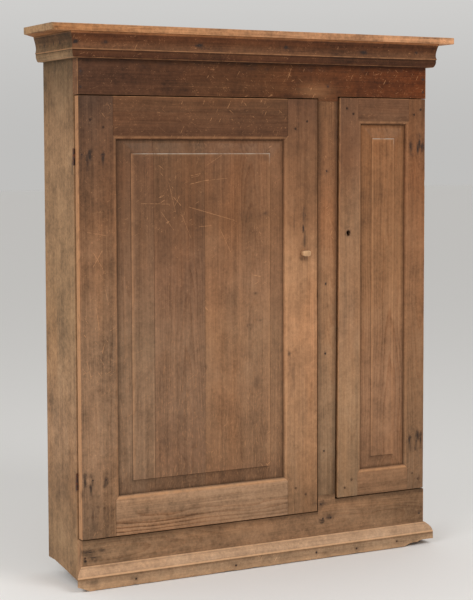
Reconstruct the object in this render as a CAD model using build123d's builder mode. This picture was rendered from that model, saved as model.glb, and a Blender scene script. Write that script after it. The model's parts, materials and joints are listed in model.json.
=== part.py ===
from build123d import *
import os
from dataclasses import dataclass

# A tall country cupboard in old pine: a shallow nailed carcass with shelves, a wide
# framed door on the left, a narrow one on the right, a moulded cornice, a loose-looking
# later top board and a mitred base moulding.
# Millimetres, +Z up, front facing -Y.  The origin is on the floor, under the middle of
# the top board.  Sketches are drawn in carcass terms: distance across from the left
# side's outer face, distance back from the front plane, and height above the floor.

os.makedirs("parts", exist_ok=True)

# ---- driving dimensions: carcass -------------------------------------------------
height = 1850
width = 1360
side_depth = 296
side_thickness = 24
front_thickness = 36
shelf_thickness = 22
back_thickness = 13
back_front_face = 268
back_board_count = 5
back_board_gap = 1.5
back_board_foot = 70
cleat_height = 34
cleat_thickness = 18
cleat_front = 62

# ---- driving dimensions: top board -----------------------------------------------
top_thickness = 23
top_overhang_left = 103
top_overhang_right = 93
top_overhang_front = 44
top_rear = 300
broken_corner_across = 68
broken_corner_back = 96

# ---- driving dimensions: front frame ----------------------------------------------
frieze_left_foot = 1626
frieze_tab_foot = 1616
frieze_right_foot = 1633
stile_left = 907
stile_right_top = 986
stile_right_foot = 977
rail_foot = 22
rail_left_top = 164
rail_tab_top = 223
rail_right_top = 203
bottom_board_underside = 208
bottom_board_thickness = 24
bottom_board_side_notch = 12
bottom_board_stile_clearance = 3
door_stop_face = 27.4
shelf_undersides = (598, 962, 1292)
shelf_front = 38

# ---- driving dimensions: mouldings -------------------------------------------------
cornice_foot = 1743
cornice_reach = 34
cornice_foot_reach = 19
cornice_lip_rise = 28
cornice_lip_reach = 28.5
cornice_cove_reach = 26
cornice_fillet = 4
base_height = 79
base_fascia = 47
base_reach = 26
base_top_reach = 4

# ---- driving dimensions: doors ------------------------------------------------------
door_thickness = 27
frame_moulding = 14
moulding_round = 9
groove_depth = 10
groove_front = 11
groove_back = 17
field_face = 4
field_step = 2
tenon_length = 58
tenon_outer_setback = 18
tenon_inner_setback = 3
tenon_front = 9
tenon_back = 18
peg_radius = 4.5
peg_proud = 0.8

# ---- driving dimensions: hinges, latch and lock ---------------------------------------
hinge_axis_outset = 1
hinge_axis_depth = 31.5
knuckle_radius = 4
hinge_pin_radius = 2.2
hinge_bore_radius = 2.25
leaf_thickness = 2.2
hinge_half_height = 26
strap_half_width = 24
strap_tip_half_width = 12
strap_taper_start = 30
leaf_clearance = 1.3
middle_knuckle_half = 10
knuckle_gap = 0.15
latch_across = 849
latch_height = 1087
spindle_radius = 8
spindle_bore_radius = 8.05
latch_arm_length = 82
latch_arm_width = 26
latch_arm_front = 36.6
latch_arm_thickness = 12
knob_width = 31
knob_height = 20
knob_length = 21
knob_gap = 1
latch_peg_radius = 2
latch_peg_beyond = 3
spindle_tail = 10
keyhole_across = 1032
keyhole_height = 1153
keyhole_radius = 8.2
keyhole_rise = 2
keyhole_drop = 9.5
slot_half_top = 5
slot_half_foot = 6.2
lock_left = 994.5
lock_width = 66
lock_half_height = 45
lock_depth = 22
lock_wall = 2
bolt_front = 38.2
bolt_thickness = 6
bolt_half_height = 9
bolt_length = 56
bolt_rise = 12
bolt_proud = 2
bolt_slot_clearance = 0.3
lock_plate_width = 23
lock_plate_thickness = 1.5

# ---- driving dimensions: supports and nails -------------------------------------------
foot_size = 60
foot_inset = 100
rear_rail_thickness = 22
rear_rail_foot = 96
nail_shank = 1.6
nail_head = 3.6
nail_head_proud = 0.8
nail_length = 28
clinch_radius = 2.6
clinch_proud = 0.6

# ---- places that follow from them ------------------------------------------------------
left_face = -(width + top_overhang_left + top_overhang_right) / 2 + top_overhang_left
front_face = -(top_overhang_front + top_rear) / 2 + top_overhang_front
inner_left = side_thickness
inner_right = width - side_thickness
top_underside = height - top_thickness


def elevation(back=0):
    """Upright plane facing the viewer: sketch x is across, sketch y is height."""
    return Plane(origin=(left_face, front_face + back, 0), x_dir=(1, 0, 0), z_dir=(0, -1, 0))


def plan(up=0):
    """Level plane: sketch x is across, sketch y is back."""
    return Plane(origin=(left_face, front_face, up), x_dir=(1, 0, 0), z_dir=(0, 0, 1))


def profile_side(across=0):
    """Upright plane seen from the left: sketch x is back, sketch y is height."""
    return Plane(origin=(left_face + across, front_face, 0), x_dir=(0, 1, 0), z_dir=(1, 0, 0))


def save(part, name):
    """Label one finished piece and write it under its own name."""
    part.label = name
    export_step(part, f"parts/{name}.step")


def board(across, back, up):
    """Plain squared board between the given pairs of limits."""
    with BuildPart() as piece:
        with BuildSketch(plan(up[0])):
            with Locations(((across[0] + across[1]) / 2, (back[0] + back[1]) / 2)):
                Rectangle(across[1] - across[0], back[1] - back[0])
        extrude(amount=up[1] - up[0])
    return piece.part


def add_prism(outline, front, thickness, mode=Mode.ADD):
    """Upright outline of (across, height) points, taken back by a thickness."""
    with BuildSketch(elevation(front)) as section:
        with BuildLine():
            Polyline(*outline, close=True)
        make_face()
    extrude(section.sketch, amount=-thickness, mode=mode)


def cut_round(centre, radius, front, back):
    """Round hole from one depth to another, drawn on the front."""
    with BuildSketch(elevation(front)) as hole:
        with Locations(centre):
            Circle(radius)
    extrude(hole.sketch, amount=front - back, mode=Mode.SUBTRACT)


def rectangle_outline(across, up):
    """Corner points of an upright rectangle."""
    return (
        (across[0], up[0]),
        (across[1], up[0]),
        (across[1], up[1]),
        (across[0], up[1]),
    )


# =====================================================================================
# Carcass: sides, bottom, shelves, back
# =====================================================================================
# The left side's lower edge has worn away, more towards the back.
with BuildPart() as left_side:
    with BuildSketch(profile_side(0)):
        with BuildLine():
            Polyline(
                (front_thickness, 20),
                (front_thickness + 22, 21),
                (160, 38),
                (240, 48),
                (side_depth - 18, 50),
                (side_depth - 13, 190),
                (side_depth, 560),
                (side_depth, top_underside),
                (front_thickness, top_underside),
                close=True,
            )
        make_face()
    extrude(amount=side_thickness)
save(left_side.part, "left_side")

with BuildPart() as right_side:
    with BuildSketch(profile_side(inner_right)):
        with BuildLine():
            Polyline(
                (front_thickness, 20),
                (200, 26),
                (side_depth - 8, 34),
                (side_depth, 150),
                (side_depth, top_underside),
                (front_thickness, top_underside),
                close=True,
            )
        make_face()
    extrude(amount=side_thickness)
save(right_side.part, "right_side")

# The bottom board reaches forward over the bottom rail, where both doors stop on it.
stop_left = inner_left + bottom_board_side_notch
stop_right = inner_right - bottom_board_side_notch
stile_notch_left = stile_left - bottom_board_stile_clearance
stile_notch_right = stile_right_top + bottom_board_stile_clearance
with BuildPart() as bottom_board:
    with BuildSketch(plan(bottom_board_underside)):
        with BuildLine():
            Polyline(
                (inner_left, front_thickness),
                (stop_left, front_thickness),
                (stop_left, door_stop_face),
                (stile_notch_left, door_stop_face),
                (stile_notch_left, front_thickness),
                (stile_notch_right, front_thickness),
                (stile_notch_right, door_stop_face),
                (stop_right, door_stop_face),
                (stop_right, front_thickness),
                (inner_right, front_thickness),
                (inner_right, back_front_face),
                (inner_left, back_front_face),
                close=True,
            )
        make_face()
    extrude(amount=bottom_board_thickness)
save(bottom_board.part, "bottom_board")

for number, underside in enumerate(shelf_undersides, 1):
    shelf = board(
        (inner_left, inner_right),
        (shelf_front, back_front_face),
        (underside, underside + shelf_thickness),
    )
    save(shelf, f"shelf_{number}")

# Two cleats nailed to the sides carry each shelf.
with BuildPart() as shelf_cleats:
    for underside in shelf_undersides:
        for inner_face in (inner_left, inner_right - cleat_thickness):
            with BuildSketch(plan(underside - cleat_height)):
                with Locations((inner_face + cleat_thickness / 2, (cleat_front + back_front_face) / 2)):
                    Rectangle(cleat_thickness, back_front_face - cleat_front)
            extrude(amount=cleat_height)
save(shelf_cleats.part, "shelf_cleats")

# Upright back boards stand between the sides, set in from their rear edges.
back_width = (inner_right - inner_left - back_board_gap * (back_board_count - 1)) / back_board_count
for number in range(back_board_count):
    start = inner_left + number * (back_width + back_board_gap)
    back_board = board(
        (start, start + back_width),
        (back_front_face, back_front_face + back_thickness),
        (back_board_foot, top_underside),
    )
    save(back_board, f"back_board_{number + 1}")

# Below the bottom board a rear rail and two posts take the weight at the back.
rear_rail = board(
    (inner_left, inner_right),
    (back_front_face - rear_rail_thickness, back_front_face),
    (rear_rail_foot, bottom_board_underside),
)
save(rear_rail, "rear_rail")
foot_back = (back_front_face - rear_rail_thickness - foot_size, back_front_face - rear_rail_thickness)
rear_foot_left = board((foot_inset, foot_inset + foot_size), foot_back, (0, bottom_board_underside))
save(rear_foot_left, "rear_foot_left")
rear_foot_right = board(
    (width - foot_inset - foot_size, width - foot_inset), foot_back, (0, bottom_board_underside)
)
save(rear_foot_right, "rear_foot_right")

# =====================================================================================
# Front frame: frieze, centre stile and bottom rail, nailed to the carcass edges
# =====================================================================================
stile_nails = ((941, 1373), (937, 976), (936, 729), (931, 381))
frieze_nails = ((12, 1700), (12, 1650), (1348, 1700), (1348, 1655), (946, 1668))
rail_nails = ((12, 106), (1341, 112), (918, 190), (927, 137), (960, 137))
moulding_nails = ((184, 22), (562, 20), (885, 26), (1053, 20), (1226, 26))

with BuildPart() as frieze:
    add_prism(
        (
            (0, frieze_left_foot),
            (stile_left, frieze_left_foot),
            (stile_left, frieze_tab_foot),
            (stile_right_top, frieze_tab_foot),
            (stile_right_top, frieze_right_foot),
            (width, frieze_right_foot),
            (width, top_underside),
            (0, top_underside),
        ),
        0,
        front_thickness,
    )
    for place in frieze_nails:
        cut_round(place, nail_shank, 0, nail_length)
save(frieze.part, "frieze")

with BuildPart() as centre_stile:
    add_prism(
        (
            (stile_left, rail_tab_top),
            (stile_right_foot, rail_tab_top),
            (stile_right_top, frieze_tab_foot),
            (stile_left, frieze_tab_foot),
        ),
        0,
        front_thickness,
    )
    for place in stile_nails:
        cut_round(place, nail_shank, 0, nail_length)
save(centre_stile.part, "centre_stile")

with BuildPart() as bottom_rail:
    add_prism(
        (
            (0, rail_foot),
            (width, rail_foot),
            (width, rail_right_top),
            (stile_right_foot, rail_right_top),
            (stile_right_foot, rail_tab_top),
            (stile_left, rail_tab_top),
            (stile_left, rail_left_top),
            (0, rail_left_top),
        ),
        0,
        front_thickness,
    )
    # a lip behind the doors closes the space up to the bottom board
    add_prism(
        (
            (stop_left, rail_left_top),
            (stop_right, rail_left_top),
            (stop_right, bottom_board_underside),
            (stop_left, bottom_board_underside),
        ),
        door_stop_face,
        front_thickness - door_stop_face,
    )
    for place in rail_nails:
        cut_round(place, nail_shank, 0, nail_length)
save(bottom_rail.part, "bottom_rail")

# =====================================================================================
# Top board, with its rear left corner broken off
# =====================================================================================
with BuildPart() as top_board:
    with BuildSketch(plan(top_underside)):
        with BuildLine():
            Polyline(
                (-top_overhang_left, -top_overhang_front),
                (width + top_overhang_right, -top_overhang_front),
                (width + top_overhang_right, top_rear),
                (broken_corner_across - top_overhang_left, top_rear),
                (-top_overhang_left, top_rear - broken_corner_back),
                close=True,
            )
        make_face()
    extrude(amount=top_thickness)
    long_front = top_board.edges().filter_by(Axis.X).group_by(Axis.Y)[0]
    fillet(long_front, 2.5)
save(top_board.part, "top_board")


# =====================================================================================
# Mouldings
# =====================================================================================
def moulding_plane(across, back, outward):
    """Section plane at a point of the carcass, with sketch x pointing outward."""
    centre = Vector(left_face + across, front_face + back, 0)
    return Plane(origin=centre, x_dir=outward, z_dir=Vector(*outward).cross(Vector(0, 0, 1)))


def draw_cornice():
    """Cornice section: rounded foot, sharp lip, shallow cove and a narrow top fillet."""
    lip = cornice_foot + cornice_lip_rise
    with BuildLine() as section:
        foot = Line((0, cornice_foot), (cornice_foot_reach, cornice_foot))
        ovolo_middle = (cornice_foot_reach + 5.8, cornice_foot + 10)
        ovolo = ThreePointArc(foot @ 1, ovolo_middle, (cornice_lip_reach - 2, lip - 4))
        quirk = Polyline(ovolo @ 1, (cornice_lip_reach - 2, lip - 2), (cornice_lip_reach, lip - 1))
        edge = Line(quirk @ 1, (cornice_lip_reach, lip + 1.5))
        cove_top = (cornice_reach - 1, top_underside - cornice_fillet - 1)
        cove = ThreePointArc(edge @ 1, (cornice_cove_reach, lip + 20), cove_top)
        Polyline(
            cove @ 1,
            (cornice_reach, top_underside - cornice_fillet),
            (cornice_reach, top_underside),
            (0, top_underside),
            (0, cornice_foot),
        )
    make_face(section.edges())


def draw_base():
    """Base moulding section: tall fascia, a small step, and a rounded top."""
    with BuildLine() as section:
        fascia = Polyline((0, 0), (base_reach, 0), (base_reach, base_fascia))
        step = Line(fascia @ 1, (base_reach - 1.5, base_fascia + 2.5))
        thumb_middle = (base_reach - 7.5, base_height - 15)
        thumb = ThreePointArc(step @ 1, thumb_middle, (base_top_reach, base_height - 1))
        Polyline(thumb @ 1, (0, base_height), (0, 0))
    make_face(section.edges())


def mitre(across, back, keep_towards):
    """Upright cutting plane through a carcass corner; material on one side stays."""
    return Plane(origin=(left_face + across, front_face + back, 0), z_dir=keep_towards)


return_nails = ((78, 1794), (134, 1795), (218, 1793))
cornice_nails = ((90, 1795), (430, 1793), (760, 1796), (1080, 1792), (1300, 1794))
cornice_nail_face = 26.3

with BuildPart() as cornice_front:
    with BuildSketch(moulding_plane(width / 2, 0, (0, -1, 0))):
        draw_cornice()
    extrude(amount=width / 2 + cornice_reach, both=True)
    split(bisect_by=mitre(0, 0, (1, -1, 0)), keep=Keep.TOP)
    split(bisect_by=mitre(width, 0, (-1, -1, 0)), keep=Keep.TOP)
    for place in cornice_nails:
        cut_round(place, nail_shank, -cornice_reach, 0)
save(cornice_front.part, "cornice_front")

with BuildPart() as cornice_left_return:
    with BuildSketch(moulding_plane(0, side_depth / 2, (-1, 0, 0))):
        draw_cornice()
    extrude(amount=side_depth / 2, both=True)
    with BuildSketch(moulding_plane(0, -cornice_reach / 2, (-1, 0, 0))):
        draw_cornice()
    extrude(amount=cornice_reach / 2, both=True)
    split(bisect_by=mitre(0, 0, (-1, 1, 0)), keep=Keep.TOP)
    for back, up in return_nails:
        with BuildSketch(profile_side(-cornice_reach)):
            with Locations((back, up)):
                Circle(nail_shank)
        extrude(amount=cornice_reach, mode=Mode.SUBTRACT)
save(cornice_left_return.part, "cornice_left_return")

with BuildPart() as cornice_right_return:
    with BuildSketch(moulding_plane(width, side_depth / 2, (1, 0, 0))):
        draw_cornice()
    extrude(amount=side_depth / 2, both=True)
    with BuildSketch(moulding_plane(width, -cornice_reach / 2, (1, 0, 0))):
        draw_cornice()
    extrude(amount=cornice_reach / 2, both=True)
    split(bisect_by=mitre(width, 0, (1, 1, 0)), keep=Keep.TOP)
save(cornice_right_return.part, "cornice_right_return")

# The base moulding has lost its left return, so its left mitre is open to view.
with BuildPart() as base_moulding_front:
    with BuildSketch(moulding_plane(width / 2, 0, (0, -1, 0))):
        draw_base()
    extrude(amount=width / 2 + base_reach, both=True)
    split(bisect_by=mitre(0, 0, (1, -1, 0)), keep=Keep.TOP)
    split(bisect_by=mitre(width, 0, (-1, -1, 0)), keep=Keep.TOP)
    for place in moulding_nails:
        cut_round(place, nail_shank, -base_reach, 0)
save(base_moulding_front.part, "base_moulding_front")

with BuildPart() as base_moulding_right_return:
    with BuildSketch(moulding_plane(width, (side_depth - base_reach) / 2, (1, 0, 0))):
        draw_base()
    extrude(amount=(side_depth + base_reach) / 2, both=True)
    split(bisect_by=mitre(width, 0, (1, 1, 0)), keep=Keep.TOP)
save(base_moulding_right_return.part, "base_moulding_right_return")


def add_front_nail(place, face, shank_length):
    """Flat-headed nail driven straight back from a face at the given depth."""
    with BuildSketch(elevation(face)) as shank:
        with Locations(place):
            Circle(nail_shank)
    extrude(shank.sketch, amount=-shank_length)
    with BuildSketch(elevation(face)) as head:
        with Locations(place):
            Circle(nail_head)
    extrude(head.sketch, amount=nail_head_proud)


with BuildPart() as frame_nails:
    for place in stile_nails + frieze_nails + rail_nails:
        add_front_nail(place, 0, nail_length - 4)
    for place in moulding_nails:
        add_front_nail(place, -base_reach, base_reach)
save(frame_nails.part, "frame_nails")

with BuildPart() as cornice_nail_set:
    for place in cornice_nails:
        with BuildSketch(elevation(-cornice_nail_face)):
            with Locations(place):
                Circle(nail_shank)
        extrude(amount=-cornice_nail_face)
    for back, up in return_nails:
        with BuildSketch(profile_side(-cornice_nail_face)):
            with Locations((back, up)):
                Circle(nail_shank)
        extrude(amount=cornice_nail_face)
save(cornice_nail_set.part, "cornice_nails")


# =====================================================================================
# Doors
# =====================================================================================
@dataclass
class Door:
    """One framed door: limits are (across, across) and (height, height) pairs."""

    name: str
    foot_across: tuple
    head_across: tuple
    up: tuple
    opening_across: tuple
    opening_up: tuple
    field_across: tuple
    field_up: tuple
    board_joints: tuple
    pegs: tuple
    hinge_heights: tuple
    hinge_side: int
    strap_length: float
    strap_nails: tuple

    @property
    def axis_across(self):
        """Where the hinge axis stands."""
        return -hinge_axis_outset if self.hinge_side > 0 else width + hinge_axis_outset


left_door = Door(
    name="left_door",
    foot_across=(2, 903.5),
    head_across=(2, 902.5),
    up=(167, 1623),
    opening_across=(138, 770),
    opening_up=(301, 1481),
    field_across=(190, 715),
    field_up=(348, 1436),
    board_joints=(272, 462),
    pegs=((861, 1546), (814, 1520), (856, 233), (815, 259), (83, 266), (40, 240), (44, 1545), (90, 1521)),
    hinge_heights=(357, 1425),
    hinge_side=1,
    strap_length=100,
    strap_nails=((15, 8), (43, 6), (36, -17), (90, 3)),
)
right_door = Door(
    name="right_door",
    foot_across=(988.5, 1358),
    head_across=(996.5, 1358),
    up=(206, 1630),
    opening_across=(1086, 1274),
    opening_up=(300, 1537),
    field_across=(1132, 1227),
    field_up=(343, 1488),
    board_joints=(),
    pegs=(
        (1024, 1593),
        (1051, 1574),
        (1338, 1592),
        (1310, 1574),
        (1018, 240),
        (1047, 266),
        (1310, 264),
        (1335, 242),
    ),
    hinge_heights=(398, 1471),
    hinge_side=-1,
    strap_length=78,
    strap_nails=((14, -9), (27, 6), (34, -16), (64, -3)),
)


def round_inner_edge(piece, axis, limit_axis, place):
    """Round the front arris that faces the panel."""
    edge = piece.edges().filter_by(axis).filter_by_position(limit_axis, place - 0.01, place + 0.01)
    fillet(edge.sort_by(Axis.Y)[0], moulding_round)


def cut_panel_groove(door):
    """Groove round the opening that holds the panel's thin edge."""
    across = (door.opening_across[0] - groove_depth, door.opening_across[1] + groove_depth)
    up = (door.opening_up[0] - groove_depth, door.opening_up[1] + groove_depth)
    add_prism(rectangle_outline(across, up), groove_front, groove_back - groove_front, Mode.SUBTRACT)


def tenon_limits(door, at_foot):
    """Height limits of the tenons of one rail."""
    if at_foot:
        inner = door.opening_up[0] - frame_moulding - tenon_inner_setback
        return (door.up[0] + tenon_outer_setback, inner)
    inner = door.opening_up[1] + frame_moulding + tenon_inner_setback
    return (inner, door.up[1] - tenon_outer_setback)


def tenon_outlines(door, at_foot):
    """The two tenons of a rail, one into each stile."""
    shoulders = (door.opening_across[0] - frame_moulding, door.opening_across[1] + frame_moulding)
    up = tenon_limits(door, at_foot)
    left = rectangle_outline((shoulders[0] - tenon_length, shoulders[0]), up)
    right = rectangle_outline((shoulders[1], shoulders[1] + tenon_length), up)
    return left, right


def drill_pegs(door):
    """Peg holes through a joint."""
    for place in door.pegs:
        cut_round(place, peg_radius, 0, door_thickness)


def cut_keyhole(back):
    """Round hole over a tapering slot, through to the given depth."""
    with BuildSketch(elevation(0)) as keyhole:
        with Locations((keyhole_across, keyhole_height + keyhole_rise)):
            Circle(keyhole_radius)
        with BuildLine():
            Polyline(
                (keyhole_across - slot_half_top, keyhole_height + keyhole_rise),
                (keyhole_across + slot_half_top, keyhole_height + keyhole_rise),
                (keyhole_across + slot_half_foot, keyhole_height - keyhole_drop),
                (keyhole_across - slot_half_foot, keyhole_height - keyhole_drop),
                close=True,
            )
        make_face()
    extrude(keyhole.sketch, amount=-back, mode=Mode.SUBTRACT)


def make_stile(door, left):
    """Full-height stile; its inner moulding is mitred into the rails'."""
    end = 0 if left else 1
    outward = -1 if left else 1
    inner = door.opening_across[end]
    shoulder = inner + outward * frame_moulding
    low, high = door.opening_up
    with BuildPart() as stile:
        add_prism(
            (
                (door.foot_across[end], door.up[0]),
                (shoulder, door.up[0]),
                (shoulder, low - frame_moulding),
                (inner, low),
                (inner, high),
                (shoulder, high + frame_moulding),
                (shoulder, door.up[1]),
                (door.head_across[end], door.up[1]),
            ),
            0,
            door_thickness,
        )
        round_inner_edge(stile, Axis.Z, Axis.X, left_face + inner)
        cut_panel_groove(door)
        for at_foot in (True, False):
            mortise = tenon_outlines(door, at_foot)[end]
            add_prism(mortise, tenon_front, tenon_back - tenon_front, Mode.SUBTRACT)
        drill_pegs(door)
        if door is left_door and not left:
            cut_round((latch_across, latch_height), spindle_bore_radius, 0, door_thickness)
        if door is right_door and left:
            cut_keyhole(door_thickness)
    return stile.part


def make_rail(door, at_foot):
    """Rail between the stiles, with a tenon at each end."""
    left = door.opening_across[0]
    right = door.opening_across[1]
    outer = door.up[0] if at_foot else door.up[1]
    inner = door.opening_up[0] if at_foot else door.opening_up[1]
    shoulder = inner - frame_moulding if at_foot else inner + frame_moulding
    with BuildPart() as rail:
        add_prism(
            (
                (left - frame_moulding, outer),
                (right + frame_moulding, outer),
                (right + frame_moulding, shoulder),
                (right, inner),
                (left, inner),
                (left - frame_moulding, shoulder),
            ),
            0,
            door_thickness,
        )
        round_inner_edge(rail, Axis.X, Axis.Z, inner)
        cut_panel_groove(door)
        for tenon in tenon_outlines(door, at_foot):
            add_prism(tenon, tenon_front, tenon_back - tenon_front)
        drill_pegs(door)
    return rail.part


def add_field(door):
    """Bevels that rise from the groove to the raised middle of the panel."""
    rings = (
        (groove_front, door.opening_across, door.opening_up),
        (field_face + field_step, door.field_across, door.field_up),
    )
    faces = []
    for depth, across, up in rings:
        with BuildSketch(elevation(depth)) as ring:
            with Locations(((across[0] + across[1]) / 2, (up[0] + up[1]) / 2)):
                Rectangle(across[1] - across[0], up[1] - up[0])
        faces.append(ring.sketch.faces()[0])
    loft(faces)
    raised = rectangle_outline(door.field_across, door.field_up)
    add_prism(raised, field_face, field_step)


def make_panel_board(door, across):
    """One board of the panel, cut from the whole fielded panel."""
    tongue = groove_depth - 1
    sides = (door.opening_across[0] - tongue, door.opening_across[1] + tongue)
    ends = (door.opening_up[0] - tongue, door.opening_up[1] + tongue)
    with BuildPart() as panel_board:
        add_prism(rectangle_outline(sides, ends), groove_front + 0.2, groove_back - groove_front - 0.4)
        add_prism(rectangle_outline(door.opening_across, door.opening_up), groove_front, 1)
        add_field(door)
        if across[0] > door.opening_across[0]:
            split(bisect_by=Plane.YZ.offset(left_face + across[0]), keep=Keep.TOP)
        if across[1] < door.opening_across[1]:
            split(bisect_by=Plane.YZ.offset(left_face + across[1]), keep=Keep.BOTTOM)
    return panel_board.part


def make_pegs(door):
    """The eight pegs that draw the frame joints tight."""
    with BuildPart() as pegs:
        for place in door.pegs:
            with BuildSketch(elevation(-peg_proud)):
                with Locations(place):
                    Circle(peg_radius - 0.05)
            extrude(amount=-door_thickness - peg_proud)
    return pegs.part


def hinge_outline(door, centre_height, points):
    """Leaf points given from the hinge axis, towards the door."""
    return tuple((door.axis_across + door.hinge_side * dx, centre_height + dz) for dx, dz in points)


def add_knuckle(door, low, high):
    """Solid knuckle round the hinge axis between two heights."""
    with BuildSketch(plan(low)) as knuckle:
        with Locations((door.axis_across, hinge_axis_depth)):
            Circle(knuckle_radius)
    extrude(knuckle.sketch, amount=high - low)


def cut_hinge_bore(door, centre_height):
    """Bore of the knuckles for the hinge pin."""
    with BuildSketch(plan(centre_height - hinge_half_height)) as bore:
        with Locations((door.axis_across, hinge_axis_depth)):
            Circle(hinge_bore_radius)
    extrude(bore.sketch, amount=2 * hinge_half_height, mode=Mode.SUBTRACT)


def make_strap_leaf(door, centre_height):
    """Tapering strap on the door's back, with the middle knuckle."""
    reach = middle_knuckle_half - knuckle_gap
    clear = knuckle_radius + leaf_clearance
    with BuildPart() as leaf:
        outline = (
            (0, -reach),
            (clear, -reach),
            (clear, -strap_half_width),
            (strap_taper_start, -strap_half_width),
            (door.strap_length, -strap_tip_half_width),
            (door.strap_length, strap_tip_half_width),
            (strap_taper_start, strap_half_width),
            (clear, strap_half_width),
            (clear, reach),
            (0, reach),
        )
        add_prism(hinge_outline(door, centre_height, outline), door_thickness, leaf_thickness)
        add_knuckle(door, centre_height - reach, centre_height + reach)
        cut_hinge_bore(door, centre_height)
        for nail in hinge_outline(door, centre_height, door.strap_nails):
            cut_round(nail, nail_shank, door_thickness, door_thickness + leaf_thickness)
    return leaf.part


side_leaf_nails = ((17, 16), (17, -16))
side_leaf_reach = side_thickness - 1


def make_side_leaf(door, centre_height):
    """Leaf nailed on the front edge of the side, with the two outer knuckles."""
    reach = middle_knuckle_half + knuckle_gap
    clear = knuckle_radius + leaf_clearance
    leaf_face = front_thickness - leaf_thickness
    with BuildPart() as leaf:
        outline = (
            (0, -hinge_half_height),
            (side_leaf_reach, -hinge_half_height),
            (side_leaf_reach, hinge_half_height),
            (0, hinge_half_height),
            (0, reach),
            (clear, reach),
            (clear, -reach),
            (0, -reach),
        )
        add_prism(hinge_outline(door, centre_height, outline), leaf_face, leaf_thickness)
        add_knuckle(door, centre_height - hinge_half_height, centre_height - reach)
        add_knuckle(door, centre_height + reach, centre_height + hinge_half_height)
        cut_hinge_bore(door, centre_height)
        for nail in hinge_outline(door, centre_height, side_leaf_nails):
            cut_round(nail, nail_shank, leaf_face, front_thickness)
    return leaf.part


def make_hinge_pin(door, centre_height):
    """Iron pin through the three knuckles, with a flattened head on top."""
    with BuildPart() as pin:
        with BuildSketch(plan(centre_height - hinge_half_height - 2)):
            with Locations((door.axis_across, hinge_axis_depth)):
                Circle(hinge_pin_radius)
        extrude(amount=2 * hinge_half_height + 2)
        with BuildSketch(plan(centre_height + hinge_half_height)):
            with Locations((door.axis_across, hinge_axis_depth)):
                Circle(knuckle_radius - 0.5)
        extrude(amount=1.6)
    return pin.part


def make_strap_nails(door):
    """Nails driven from the strap through the door and clinched on its face."""
    with BuildPart() as nails:
        for centre_height in door.hinge_heights:
            for place in hinge_outline(door, centre_height, door.strap_nails):
                for depth, radius, thickness in (
                    (-clinch_proud, clinch_radius, clinch_proud),
                    (0, nail_shank, door_thickness + leaf_thickness),
                    (door_thickness + leaf_thickness, nail_head, nail_head_proud),
                ):
                    with BuildSketch(elevation(depth)):
                        with Locations(place):
                            Circle(radius)
                    extrude(amount=-thickness)
    return nails.part


def drill_strap_nails(door, stile):
    """The hinge stile again, with the holes of the strap nails."""
    with BuildPart() as drilled:
        add(stile)
        for centre_height in door.hinge_heights:
            for place in hinge_outline(door, centre_height, door.strap_nails):
                cut_round(place, nail_shank, 0, door_thickness)
    return drilled.part


for door in (left_door, right_door):
    hinge_at_left = door.hinge_side > 0
    hinge_stile = drill_strap_nails(door, make_stile(door, hinge_at_left))
    save(hinge_stile, f"{door.name}_hinge_stile")
    save(make_stile(door, not hinge_at_left), f"{door.name}_lock_stile")
    save(make_rail(door, False), f"{door.name}_top_rail")
    save(make_rail(door, True), f"{door.name}_bottom_rail")
    seams = (door.opening_across[0], *door.board_joints, door.opening_across[1])
    for number, limits in enumerate(zip(seams, seams[1:]), 1):
        save(make_panel_board(door, limits), f"{door.name}_panel_board_{number}")
    save(make_pegs(door), f"{door.name}_pegs")
    save(make_strap_nails(door), f"{door.name}_strap_nails")
    for position, centre_height in zip(("lower", "upper"), door.hinge_heights):
        save(make_strap_leaf(door, centre_height), f"{door.name}_{position}_strap_leaf")
        save(make_side_leaf(door, centre_height), f"{door.name}_{position}_side_leaf")
        save(make_hinge_pin(door, centre_height), f"{door.name}_{position}_hinge_pin")

# =====================================================================================
# Turn latch on the left door: a wooden knob outside works a wooden arm inside
# =====================================================================================
latch_arm_back = latch_arm_front + latch_arm_thickness
latch_peg_depth = latch_arm_back + latch_peg_beyond
latch_peg_length = 28
with BuildPart() as latch_knob:
    with BuildSketch(elevation(-knob_gap)):
        with Locations((latch_across, latch_height)):
            RectangleRounded(knob_width, knob_height, 3)
    extrude(amount=knob_length)
    grip_edges = latch_knob.faces().sort_by(Axis.Y)[0].edges()
    fillet(grip_edges, 2)
    with BuildSketch(elevation(-knob_gap)):
        with Locations((latch_across, latch_height)):
            Circle(spindle_radius)
    extrude(amount=-(latch_arm_back + spindle_tail))
    with BuildSketch(profile_side(latch_across - 1.5 * spindle_radius)):
        with Locations((latch_peg_depth, latch_height)):
            Circle(latch_peg_radius)
    extrude(amount=3 * spindle_radius, mode=Mode.SUBTRACT)
save(latch_knob.part, "latch_knob")

with BuildPart() as latch_arm:
    with BuildSketch(elevation(latch_arm_front)):
        with Locations((latch_across, latch_height - latch_arm_length / 2 + latch_arm_width / 2)):
            RectangleRounded(latch_arm_width, latch_arm_length, 6)
        with Locations((latch_across, latch_height)):
            Circle(spindle_radius, mode=Mode.SUBTRACT)
    extrude(amount=-latch_arm_thickness)
save(latch_arm.part, "latch_arm")

with BuildPart() as latch_peg:
    with BuildSketch(profile_side(latch_across - latch_peg_length / 2)):
        with Locations((latch_peg_depth, latch_height)):
            Circle(latch_peg_radius - 0.05)
    extrude(amount=latch_peg_length)
save(latch_peg.part, "latch_peg")

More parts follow.
